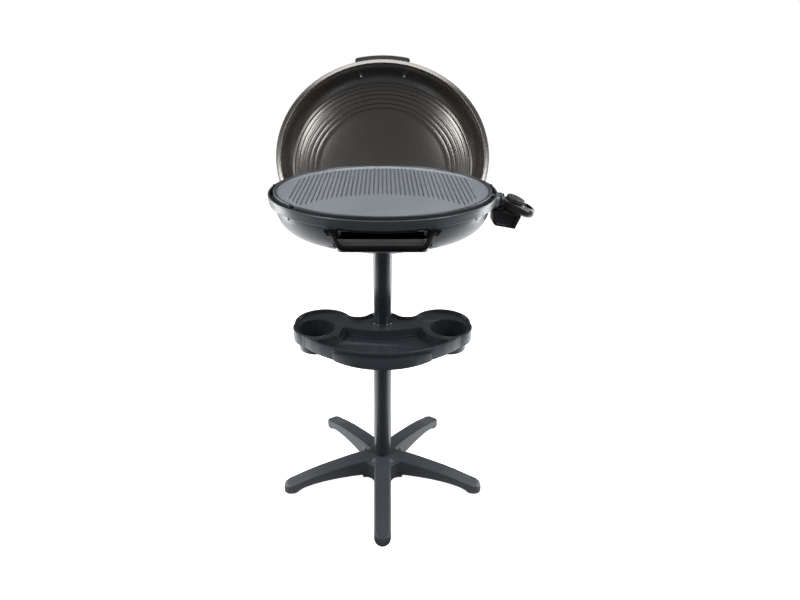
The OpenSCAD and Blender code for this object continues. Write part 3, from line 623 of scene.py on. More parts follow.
def cut(piece: bpy.types.Object, tool: bpy.types.Object) -> bpy.types.Object:
    """Takes a tool's shape out of a piece and removes the tool.

    Args:
        piece: the piece.
        tool: closed shape of what goes.

    Returns:
        The same piece.
    """
    boolean = piece.modifiers.new("cut", "BOOLEAN")
    boolean.operation = "DIFFERENCE"
    boolean.solver = "EXACT"
    boolean.object = tool
    bake(piece)
    bpy.data.objects.remove(tool)
    return piece


def bevel(piece: bpy.types.Object, width: float, segments: int = 2,
          angle: float = 35.0) -> bpy.types.Object:
    """Rounds the edges of a piece that are sharper than an angle.

    Args:
        piece: the piece.
        width: bevel width in millimetres.
        segments: steps across the bevel.
        angle: sharpest angle that stays as it is, in degrees.

    Returns:
        The same piece.
    """
    made = piece.modifiers.new("bevel", "BEVEL")
    made.width = width * MM
    made.segments = segments
    made.limit_method = "ANGLE"
    made.angle_limit = radians(angle)
    return bake(piece)


def smooth(piece: bpy.types.Object, angle: float = 38.0) -> bpy.types.Object:
    """Shades a piece smooth.

    Args:
        piece: the piece.
        angle: edges sharper than this many degrees stay sharp.

    Returns:
        The same piece.
    """
    piece.data.shade_smooth()
    piece.data.set_sharp_from_angle(angle=radians(angle))
    return piece


def mould(piece: bpy.types.Object, grid: float, rounds: int) -> bpy.types.Object:
    """Melts joined solids into one skin with soft corners.

    Args:
        piece: closed solids that may run into each other.
        grid: size of the grid in millimetres.
        rounds: number of smoothing rounds.

    Returns:
        The same piece, as one closed skin.
    """
    skin = piece.modifiers.new("skin", "REMESH")
    skin.mode = "VOXEL"
    skin.voxel_size = grid * MM
    soften = piece.modifiers.new("soften", "SMOOTH")
    soften.factor = SOFTEN
    soften.iterations = rounds
    bake(piece)
    piece.data.shade_smooth()
    return piece


def join(name: str, parts: Sequence[bpy.types.Object]) -> bpy.types.Object:
    """Puts several objects' meshes into one object.

    Args:
        name: name of the piece.
        parts: the objects, which are removed.

    Returns:
        The joined object.
    """
    bm = bmesh.new()
    for part in parts:
        bm.from_mesh(part.data)
        bpy.data.objects.remove(part)
    return from_bmesh(bm, name)


def moved(piece: bpy.types.Object, matrix: Matrix) -> bpy.types.Object:
    """Moves a piece's mesh by a matrix in metres."""
    piece.data.transform(matrix)
    return piece


def merged_copy(node: str, name: str) -> bpy.types.Object:
    """Copies a CAD node with its triangles joined into flat faces.

    Args:
        node: name of the CAD node.
        name: name of the copy.

    Returns:
        The copy.
    """
    bm = bmesh.new()
    bm.from_mesh(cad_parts[node].data)
    bmesh.ops.remove_doubles(bm, verts=bm.verts, dist=COPY_WELD * MM)
    bmesh.ops.dissolve_limit(bm, angle_limit=radians(FLAT_BEND), verts=bm.verts, edges=bm.edges)
    return from_bmesh(bm, name)


def place(piece: bpy.types.Object, finish: Finishes, body: Body, *nodes: str) -> bpy.types.Object:
    """Gives a finished piece its material, its body and the CAD nodes that it stands for.

    Args:
        piece: the finished piece.
        finish: its finish.
        body: body that it rides on.
        *nodes: names of the CAD nodes that it replaces.

    Returns:
        The same piece.
    """
    piece.data.materials.clear()
    piece.data.materials.append(MATERIALS[finish])
    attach(piece, body.value)
    if nodes:
        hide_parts(*nodes)
    log.info("%s: %d faces, rides on %s, for %s", piece.name, len(piece.data.polygons), body.value, nodes)
    return piece


def refine(node: str, finish: Finishes, body: Body, width: float = 0.4,
           angle: float = 35.0) -> bpy.types.Object:
    """Replaces a CAD node by a copy with rounded edges and smooth shading.

    Args:
        node: name of the CAD node.
        finish: the copy's finish.
        body: body that the copy rides on.
        width: width of the rounding in millimetres, or 0 for none.
        angle: edges sharper than this many degrees are rounded.

    Returns:
        The finished copy.
    """
    copy = merged_copy(node, f"{node}_dressed")
    if width:
        bevel(copy, width, 2, angle)
    smooth(copy, angle)
    return place(copy, finish, body, node)


def keep(node: str, finish: Finishes) -> None:
    """Keeps a CAD node's own shape and gives it a finish.

    Args:
        node: name of the CAD node.
        finish: its finish.
    """
    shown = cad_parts[node]
    shown.data.materials.clear()
    shown.data.materials.append(MATERIALS[finish])
    log.info("%s: kept with %s", node, finish.value.name)


# Geometry Nodes for what repeats


class RingTree:
    """A node tree that sets small upright ribs in a circle."""

    rib_sides: int = 12

    def __init__(self) -> None:
        """Builds the tree with its named inputs."""
        self.tree = bpy.data.node_groups.new("rib_circle", "GeometryNodeTree")
        self.add_input("Geometry", "NodeSocketGeometry")
        self.count = self.add_input("Count", "NodeSocketInt")
        self.circle = self.add_input("Circle Radius", "NodeSocketFloat")
        self.rib = self.add_input("Rib Radius", "NodeSocketFloat")
        self.height = self.add_input("Rib Height", "NodeSocketFloat")
        self.material = self.add_input("Finish", "NodeSocketMaterial")
        self.tree.interface.new_socket("Geometry", in_out="OUTPUT", socket_type="NodeSocketGeometry")
        self.wire()

    def add_input(self, name: str, kind: str) -> str:
        """Adds a named input and returns the identifier by which a modifier sets it."""
        return self.tree.interface.new_socket(name, in_out="INPUT", socket_type=kind).identifier

    def wire(self) -> None:
        """Wires the circle, its ribs and their finish."""
        links = self.tree.links
        source = add_node(self.tree, "NodeGroupInput")
        sink = add_node(self.tree, "NodeGroupOutput")
        ring = add_node(self.tree, "GeometryNodeMeshCircle")
        rib = add_node(self.tree, "GeometryNodeMeshCylinder", {"Vertices": self.rib_sides})
        copies = add_node(self.tree, "GeometryNodeInstanceOnPoints")
        real = add_node(self.tree, "GeometryNodeRealizeInstances")
        paint = add_node(self.tree, "GeometryNodeSetMaterial")
        links.new(source.outputs["Count"], ring.inputs["Vertices"])
        links.new(source.outputs["Circle Radius"], ring.inputs["Radius"])
        links.new(source.outputs["Rib Radius"], rib.inputs["Radius"])
        links.new(source.outputs["Rib Height"], rib.inputs["Depth"])
        links.new(ring.outputs["Mesh"], copies.inputs["Points"])
        links.new(rib.outputs["Mesh"], copies.inputs["Instance"])
        links.new(copies.outputs["Instances"], real.inputs["Geometry"])
        links.new(real.outputs["Geometry"], paint.inputs["Geometry"])
        links.new(source.outputs["Finish"], paint.inputs["Material"])
        links.new(paint.outputs["Geometry"], sink.inputs["Geometry"])

    def grow(self, name: str, count: int, around: float, rib: float, height: float) -> bpy.types.Object:
        """Makes a circle of ribs about the origin.

        Args:
            name: name of the piece.
            count: number of ribs.
            around: radius of the circle in millimetres.
            rib: radius of a rib in millimetres.
            height: height of a rib in millimetres.

        Returns:
            One plain mesh object.
        """
        made = new_object(name, bpy.data.meshes.new(name))
        nodes = made.modifiers.new("ribs", "NODES")
        nodes.node_group = self.tree
        nodes[self.count] = count
        nodes[self.circle] = around * MM
        nodes[self.rib] = rib * MM
        nodes[self.height] = height * MM
        nodes[self.material] = MATERIALS[Finishes.KNOB]
        return bake(made)


RIBS = RingTree()


# Sub-assemblies, with sizes in millimetres and angles in degrees


@dataclass
class Stand:
    """Star base, tubes, sleeve and condiment tray.

    The profiles of leg and hub are points of distance from the middle and height.
    """

    reach: float = 269.0
    legs: int = 5
    first_leg: float = -90.0
    tip_width: float = 40.0
    root_width: float = 44.5
    taper_end: float = 250.0
    least_half: float = 2.0
    corner: float = 5.0
    corner_of_width: float = 0.6
    corner_of_height: float = 0.45
    leg_top: tuple[Point2, ...] = (
        (0, 64.5), (60, 64.2), (86, 61.6), (114, 57.4), (141, 53.2), (169, 48.4), (196, 42.4),
        (216, 37), (230, 33), (240, 30.4), (250, 28), (260, 25.2), (265, 22), (268.3, 16))
    leg_bottom: tuple[Point2, ...] = (
        (0, 14), (60, 15), (86, 17.6), (114, 19.6), (141, 20.4), (169, 20), (196, 17.6),
        (213, 14), (222, 9), (228, 1.6), (240, 1.6), (250, 1.6), (260, 1.6), (268.3, 1.6))
    hub: tuple[Point2, ...] = (
        (0, 13), (33, 13), (34, 6), (47, 6), (49, 9), (49, 50), (46, 58), (36, 65), (0, 65))
    hub_steps: int = 96
    web_radius: float = 22.0
    web_low: float = 9.0
    web_high: float = 57.0
    skin_grid: float = 1.6
    skin_rounds: int = 3

    def leg(self, turn: float) -> bpy.types.Object:
        """Makes one leg.

        Args:
            turn: direction of the leg in degrees.

        Returns:
            A closed leg from the hub to its round tip.
        """
        bm = bmesh.new()
        rings = []
        for (r, high), (_, low) in zip(self.leg_top, self.leg_bottom, strict=True):
            tall = high - low
            half = self.half_width(r)
            corner = min(self.corner, half * self.corner_of_width, tall * self.corner_of_height)
            outline = rounded_rectangle(2 * half, tall, corner, 4)
            rings.append([bm.verts.new((r, y, (high + low) / 2 + z)) for y, z in outline])
        for here, there in zip(rings, rings[1:]):
            for k in range(len(here)):
                n = (k + 1) % len(here)
                bm.faces.new((here[k], here[n], there[n], there[k]))
        bm.faces.new(rings[0])
        bm.faces.new(rings[-1])
        about = Matrix.Rotation(radians(turn), 3, "Z")
        bmesh.ops.rotate(bm, cent=(0, 0, 0), matrix=about, verts=bm.verts)
        return to_object(bm, "leg")

    def half_width(self, r: float) -> float:
        """Gives half the leg's width, which narrows outward and ends in a round tip.

        Args:
            r: distance from the middle of the stand.

        Returns:
            The half width in millimetres.
        """
        over = r - (self.reach - self.tip_width / 2)
        if over > 0:
            return sqrt(max(self.least_half**2, (self.tip_width / 2) ** 2 - over * over))
        share = min(1.0, r / self.taper_end)
        return self.root_width / 2 + (self.tip_width - self.root_width) / 2 * share

    def star(self) -> bpy.types.Object:
        """Melts legs, hub and webs into one casting.

        Returns:
            The casting as one closed skin.
        """
        legs = [self.leg(self.first_leg + i * 360 / self.legs) for i in range(self.legs)]
        hub = revolve("hub", self.hub, self.hub_steps)
        casting = join("star_casting", [*legs, hub, self.webs()])
        return mould(casting, self.skin_grid, self.skin_rounds)

    def webs(self) -> bpy.types.Object:
        """Makes the hollow-cornered block that fills the corners between the legs at the hub.

        Returns:
            The closed block.
        """
        half_turn = 180 / self.legs
        side = self.root_width / 2
        away = (side + self.web_radius) / sin(radians(half_turn))
        opening = 90 - half_turn
        outline: list[Point2] = []
        for i in range(self.legs):
            middle = self.first_leg + (2 * i + 1) * half_turn
            centre = (away * cos(radians(middle)), away * sin(radians(middle)))
            outline += arc(*centre, self.web_radius, middle + 180 + opening, middle + 180 - opening, 8)
        return prism("webs", outline, self.web_low, self.web_high)

    def build(self) -> None:
        """Builds and places everything on the stand."""
        place(self.star(), Finishes.STAND, Body.STAND, "base_star")
        refine("foot_pads", Finishes.RUBBER, Body.STAND)
        refine("base_bolt", Finishes.STEEL, Body.STAND)
        keep("tube_plug", Finishes.BRACKET)
        refine("lower_tube", Finishes.TUBE, Body.STAND)
        refine("upper_tube", Finishes.TUBE, Body.STAND)
        refine("tube_sleeve", Finishes.TRAY, Body.STAND)
        refine("condiment_tray", Finishes.TRAY, Body.STAND, width=1.6, angle=30)
        refine("tray_collar", Finishes.TRAY, Body.STAND, width=0.8)
        refine("collar_screws", Finishes.STEEL, Body.STAND)


@dataclass
class Bowl:
    """Bowl with its rim band, the fittings inside and the socket under it."""

    rim_radius: float = 249.6
    rim_height: float = 780.0
    band: float = 19.0
    wall_radius: float = 235.5
    knee: float = 62.0
    power: float = 2.2
    curve_steps: int = 24
    flat_radius: float = 90.0
    flat_rise: float = 6.0
    bottom: float = 690.0
    wall: float = 2.5
    steps: int = 224
    sharp: float = 30.0
    opening_half: float = 96.0
    opening_low: float = 712.0
    opening_high: float = 755.0
    opening_corner: float = 7.0
    opening_reach: Point2 = (120.0, 260.0)
    notch_angles: tuple[float, ...] = (-37.0, 217.0, 60.0, 120.0)
    notch_size: Point2 = (13.0, 9.0)
    notch_corner: float = 2.0
    notch_reach: Point2 = (233.7, 243.5)
    notch_drop: float = 24.0
    socket_radius: float = 16.5
    socket_reach: Point2 = (208.0, 249.0)
    socket_drop: float = 26.0
    loop_outer: float = 150.0
    loop_inner: float = 105.0
    loop_bend: float = 12.0
    loop_end: float = 166.0
    pin_x: float = 226.0
    pin_y: float = 12.0
    element_height: float = 754.0
    element_radius: float = 3.5

    def curve(self, inset: float) -> list[Point2]:
        """Gives the wall below the band.

        Args:
            inset: how far inside the outer face it lies.

        Returns:
            (radius, height) points from the band down to the flat bottom.
        """
        top, low = self.rim_height - self.band - 2, self.bottom + self.flat_rise + inset
        points = []
        for i in range(self.curve_steps + 1):
            t = radians(90 * i / self.curve_steps)
            r = self.wall_radius - self.knee - inset + self.knee * max(cos(t), 0.0) ** (2 / self.power)
            points.append((r, top - (top - low) * sin(t) ** (2 / self.power)))
        return points

    def profile(self) -> list[Point2]:
        """Gives the section through the bowl's wall.

        Returns:
            (radius, height) points from the rim down the outside and up the inside.
        """
        r, z = self.rim_radius, self.rim_height
        band = z - self.band
        floor = self.bottom + self.wall
        inner_r = r - 4
        outer = [*arc(r - 1.6, z - 1.6, 1.6, 90, 0, 5), (r - 0.4, z - 8), (r - 1.6, band + 1.4),
                 *arc(r - 3, band + 1.2, 1.4, 0, -90, 4), (self.wall_radius + 1.2, band - 1.0)]
        middle = [(self.flat_radius, self.bottom), (0, self.bottom), (0, floor), (self.flat_radius, floor)]
        inner = [*reversed(self.curve(self.wall)), (inner_r - 4, band + 0.5), (inner_r, band + 3),
                 (inner_r, z - 1), (inner_r + 0.8, z)]
        return [*outer, *self.curve(0.0), *middle, *inner]

    def shell(self) -> bpy.types.Object:
        """Makes the bowl with its openings.

        Returns:
            The bowl.
        """
        made = revolve("bowl_shell", self.profile(), self.steps)
        upright = Matrix.Rotation(radians(90), 4, "X")
        outward = Matrix.Rotation(radians(90), 4, "Y")
        tall = self.opening_high - self.opening_low
        mouth = prism("mouth", rounded_rectangle(2 * self.opening_half, tall, self.opening_corner),
                      *self.opening_reach)
        middle = (self.opening_low + self.opening_high) / 2
        cut(made, moved(mouth, Matrix.Translation((0, 0, middle * MM)) @ upright))
        notch = rounded_rectangle(*self.notch_size, self.notch_corner)
        lift = Matrix.Translation((0, 0, (self.rim_height - self.notch_drop) * MM))
        for turn in self.notch_angles:
            pocket = prism("pocket", notch, *self.notch_reach)
            cut(made, moved(pocket, lift @ (Matrix.Rotation(radians(turn), 4, "Z") @ outward)))
        hole = prism("hole", circle(self.socket_radius, 48), *self.socket_reach)
        lift = Matrix.Translation((0, 0, (self.rim_height - self.socket_drop) * MM))
        cut(made, moved(hole, lift @ outward))
        return smooth(made, self.sharp)

    def element(self) -> bpy.types.Object:
        """Makes the heating element as one bent tube.

        Returns:
            The element with its two straight ends at the pins.
        """
        outer, inner, bend, end = self.loop_outer, self.loop_inner, self.loop_bend, self.loop_end
        bend_y = self.pin_y + bend
        bend_x = sqrt((outer + bend) ** 2 - bend_y**2)
        start = degrees(atan2(bend_y, bend_x))
        turn_r = (outer - inner) / 2
        middle = inner + turn_r
        half = [(self.pin_x, self.pin_y), *arc(bend_x, bend_y, bend, 270, 180 + start, 6),
                *arc(0, 0, outer, start, end, 60)[1:]]
        centre = (middle * cos(radians(end)), middle * sin(radians(end)))
        half += arc(*centre, turn_r, end, end + 180, 12)[1:]
        half += arc(0, 0, inner, end, 0, 50)[1:]
        flat = half + [(x, -y) for x, y in reversed(half[:-1])]
        path = [(x, y, self.element_height) for x, y in flat]
        return smooth(sweep("element_tube", path, circle(self.element_radius, 16)))

    def build(self) -> None:
        """Builds and places the bowl and its fittings."""
        place(self.shell(), Finishes.BOWL, Body.HEAD, "bowl")
        place(self.element(), Finishes.ELEMENT, Body.HEAD, "heating_element")
        refine("pole_socket", Finishes.STAND, Body.HEAD, width=1.0)
        refine("socket_screws", Finishes.STEEL, Body.HEAD)
        refine("socket_nuts", Finishes.STEEL, Body.HEAD)
        refine("rim_bumpers", Finishes.RUBBER, Body.HEAD)
        refine("plate_rests", Finishes.BRACKET, Body.HEAD)
        refine("rest_screws", Finishes.HANDLE, Body.HEAD)
        refine("reflector", Finishes.REFLECTOR, Body.HEAD, width=0.0)
        refine("element_clips", Finishes.BRACKET, Body.HEAD)
        refine("terminal_block", Finishes.CERAMIC, Body.HEAD, width=0.8)
        refine("terminal_pins", Finishes.STEEL, Body.HEAD)
        refine("socket_shroud", Finishes.SHROUD, Body.HEAD, width=1.0)
        refine("drip_rails", Finishes.BRACKET, Body.HEAD)
        refine("hinge_brackets", Finishes.HINGE, Body.HEAD, width=0.6)
        refine("hinge_pins", Finishes.STEEL, Body.HEAD)


@dataclass
class GrillPlate:
    """Ribbed plate with a smooth front field, a raised rim, drain slots and lift notches."""

    radius: float = 237.8
    top: float = 785.0
    floor: float = 779.0
    bottom: float = 765.0
    field_radius: float = 226.5
    pitch: float = 9.7
    groove_half: float = 1.6
    groove_depth: float = 4.0
    end_grow: float = 1.5
    outer_groove: int = 20
    shortest_groove: float = 12.0
    back_margin: float = 5.5
    front_margin: float = 16.0
    wall_half: float = 0.45
    griddle_centre: float = -233.0
    griddle_radius: float = 190.0
    grooved_half: float = 202.0
    side_columns: int = 20
    column_steps: tuple[float, ...] = (
        -4.85, -3.4, -2.5, -2.0, -1.6, -1.2, -0.6, 0.6, 1.2, 1.6, 2.0, 2.5, 3.4)
    front_marks: Point3 = (-5.0, -2.5, 3.5)
    back_marks: Point2 = (-3.0, 2.0)
    row_counts: tuple[int, ...] = (8, 3, 9, 8, 7, 3)
    web: float = 6.0
    slot_size: Point2 = (12.0, 3.0)
    slot_corner: float = 1.4
    slot_place: Point2 = (212.0, -52.0)
    slot_reach: Point2 = (760.0, 782.0)
    notch_size: Point2 = (22.0, 20.0)
    notch_corner: float = 1.5
    notch_radius: float = 241.0
    notch_angles: tuple[float, ...] = (222.0, 42.0)
    notch_reach: Point2 = (776.0, 790.0)
    sharp: float = 42.0

    def groove_ends(self, x: float) -> tuple[float, float]:
        """Gives the ends of the groove that runs at x.

        Args:
            x: the groove's place across the plate.

        Returns:
            Its front and its back end.
        """
        back = sqrt(max(0.0, (self.field_radius - self.back_margin) ** 2 - x * x))
        front_limit = -sqrt(max(0.0, (self.field_radius - self.front_margin) ** 2 - x * x))
        front = self.griddle_centre
        if abs(x) < self.griddle_radius:
            front += sqrt(self.griddle_radius**2 - x * x)
        return max(front, front_limit), back

    def depth(self, x: float, y: float) -> float:
        """Gives how far the surface lies below the ribs' tops.

        Args:
            x: place across the plate.
            y: place from front to back.

        Returns:
            The depth in millimetres.
        """
        index = round(x / self.pitch)
        if abs(index) > self.outer_groove:
            return 0.0
        middle = index * self.pitch
        front, back = self.groove_ends(middle)
        if back - front < self.shortest_groove:
            return 0.0
        inside = min(max(y, front), back)
        away = sqrt((x - middle) ** 2 + (y - inside) ** 2)
        to_end = sqrt((x - middle) ** 2 + (y - front) ** 2)
        groove = self.wall_share(away - self.groove_half)
        dot = self.wall_share(to_end - self.groove_half - self.end_grow)
        return self.groove_depth * max(groove, dot)

    def wall_share(self, past: float) -> float:
        """Gives 1 inside a groove, 0 outside it and a soft step between, by the distance past its wall."""
        t = min(max((self.wall_half - past) / (2 * self.wall_half), 0.0), 1.0)
        return t * t * (3 - 2 * t)

    def columns(self) -> list[float]:
        """Gives the x of every mesh column, close together on the grooves' walls.

        Returns:
            The places from left to right.
        """
        grooves = range(-self.outer_groove, self.outer_groove + 1)
        found = [i * self.pitch + s for i in grooves for s in self.column_steps]
        found = [x for x in found if abs(x) < self.grooved_half]
        corner = sqrt(self.field_radius**2 - self.grooved_half**2)
        edge = degrees(atan2(corner, self.grooved_half))
        count = self.side_columns
        side = [self.field_radius * cos(radians(edge * i / count)) for i in range(count + 1)]
        return sorted({round(x, 4) for x in [*found, *side, *(-s for s in side)]})

    def rows(self, x: float) -> list[float]:
        """Gives the y of every vertex in a column, close together where a groove ends.

        Args:
            x: the column's place.

        Returns:
            The places from front to back, as many in every column.
        """
        limit = sqrt(max(0.0, self.field_radius**2 - x * x))
        front, back = self.groove_ends(round(x / self.pitch) * self.pitch)
        near_front = [front + step for step in self.front_marks]
        near_back = [back + step for step in self.back_marks]
        marks = [-limit, *near_front, *near_back, limit]
        for i in range(1, len(marks)):
            marks[i] = min(max(marks[i], marks[i - 1]), limit)
        found = [marks[0]]
        for a, b, n in zip(marks, marks[1:], self.row_counts):
            found += [a + (b - a) * k / n for k in range(1, n + 1)]
        return found

    def surface(self) -> bpy.types.Object:
        """Makes the plate's closed mesh.

        Returns:
            The plate without its slots and notches.
        """
        bm = bmesh.new()
        grid = []
        for x in self.columns():
            grid.append([bm.verts.new((x, y, self.floor - self.depth(x, y))) for y in self.rows(x)])
        for here, there in zip(grid, grid[1:]):
            for k in range(len(here) - 1):
                bm.faces.new((here[k], there[k], there[k + 1], here[k + 1]))
        rim = [column[0] for column in grid] + [column[-1] for column in reversed(grid)]
        self.add_rim(bm, rim)
        bmesh.ops.remove_doubles(bm, verts=bm.verts, dist=2 * WELD)
        bmesh.ops.dissolve_degenerate(bm, dist=WELD, edges=bm.edges)
        return to_object(bm, "ribbed_plate")

    def add_rim(self, bm: bmesh.types.BMesh, border: list[bmesh.types.BMVert]) -> None:
        """Runs the rim's profile round the field's border and closes the underside.

        Args:
            bm: mesh that holds the field.
            border: the field's border vertices, in order.
        """
        r, z = self.radius, self.top
        web = self.floor - self.web
        profile = [(227.4, self.floor + 0.25), (228.2, self.floor + 1.0), (228.8, self.floor + 2.2),
                   (229.6, self.floor + 2.8), (231.2, self.floor + 3.0), (232.0, self.floor + 3.6),
                   (232.5, z - 1.0), *arc(233.6, z - 1.1, 1.1, 150, 90, 3),
                   *arc(r - 1.3, z - 1.3, 1.3, 90, 0, 4), (r - 0.2, z - 9), (r - 0.4, self.bottom + 1.5),
                   (r - 2, self.bottom), (217, self.bottom), (216.5, web), (120, web), (40, web)]
        last = border
        for radius, height in profile:
            ring = []
            for vertex in border:
                away = Vector((vertex.co.x, vertex.co.y)).normalized() * radius
                ring.append(bm.verts.new((away.x, away.y, height)))
            self.bridge(bm, last, ring)
            last = ring
        hub = bm.verts.new((0, 0, web))
        for k, vertex in enumerate(last):
            after = last[(k + 1) % len(last)]
            if (vertex.co - after.co).length > TINY:
                bm.faces.new((vertex, after, hub))

    @staticmethod
    def bridge(bm: bmesh.types.BMesh, inner: list[bmesh.types.BMVert],
               outer: list[bmesh.types.BMVert]) -> None:
        """Joins two rings of vertices by faces.

        Args:
            bm: mesh that holds both rings.
            inner: vertices of one ring, in order.
            outer: vertices of the other ring, as many.
        """
        count = len(inner)
        for k in range(count):
            n = (k + 1) % count
            corners = list(dict.fromkeys((inner[k], inner[n], outer[n], outer[k])))
            if len(corners) > 2:
                bm.faces.new(corners)

    def build(self) -> None:
        """Builds and places the plate with its slots and notches."""
        made = self.surface()
        x, y = self.slot_place
        outline = rounded_rectangle(*self.slot_size, self.slot_corner, 4)
        for side in (-1, 1):
            slot = prism("slot", outline, *self.slot_reach)
            cut(made, moved(slot, Matrix.Translation((side * x * MM, y * MM, 0))))
        outline = rounded_rectangle(*self.notch_size, self.notch_corner, 3)
        for turn in self.notch_angles:
            notch = prism("notch", outline, *self.notch_reach)
            about = Matrix.Rotation(radians(turn), 4, "Z")
            cut(made, moved(notch, about @ Matrix.Translation((self.notch_radius * MM, 0, 0))))
        place(smooth(made, self.sharp), Finishes.PLATE, Body.PLATE, "grill_plate")


@dataclass
class DripDrawer:
    """Drip tray with its bail handle."""

    bail_half: tuple[Point3, ...] = (
        (104.0, -230.0, 751.5), (96.0, -235.0, 750.0), (92.0, -240.0, 747.5), (88.5, -245.5, 744.0),
        (85.0, -250.0, 739.5), (81.5, -253.5, 735.0), (77.5, -255.6, 731.6), (72.0, -256.2, 730.0),
        (62.0, -256.4, 729.7), (30.0, -256.4, 729.7), (0.0, -256.4, 729.7))
    bar: float = 9.6
    bar_corner: float = 3.4
    ear: tuple[Point2, ...] = ((84, 743), (97, 742), (111, 757.5), (84, 757.5))
    ear_reach: Point2 = (224.0, 236.0)
    skin_grid: float = 0.9
    skin_rounds: int = 3

    def bail(self) -> bpy.types.Object:
        """Makes the handle: two ears, two legs and the bar, as one bent bar.

        Returns:
            The handle as one closed skin.
        """
        path = [*self.bail_half, *((-x, y, z) for x, y, z in reversed(self.bail_half[:-1]))]
        bar = sweep("bar", path, rounded_rectangle(self.bar, self.bar, self.bar_corner, 4))
        ears = []
        for side in (-1, 1):
            ear = prism("ear", [(side * x, z) for x, z in self.ear], *self.ear_reach)
            ears.append(moved(ear, Matrix.Rotation(radians(90), 4, "X")))
        return mould(join("drawer_handle", [bar, *ears]), self.skin_grid, self.skin_rounds)

    def build(self) -> None:
        """Builds and places the tray and its handle."""
        refine("drip_tray", Finishes.DRIP, Body.DRAWER, width=0.5)
        place(self.bail(), Finishes.HANDLE, Body.DRAWER, "drip_handle")
        refine("handle_lugs", Finishes.STEEL, Body.DRAWER)
        refine("handle_rivets", Finishes.STEEL, Body.DRAWER)


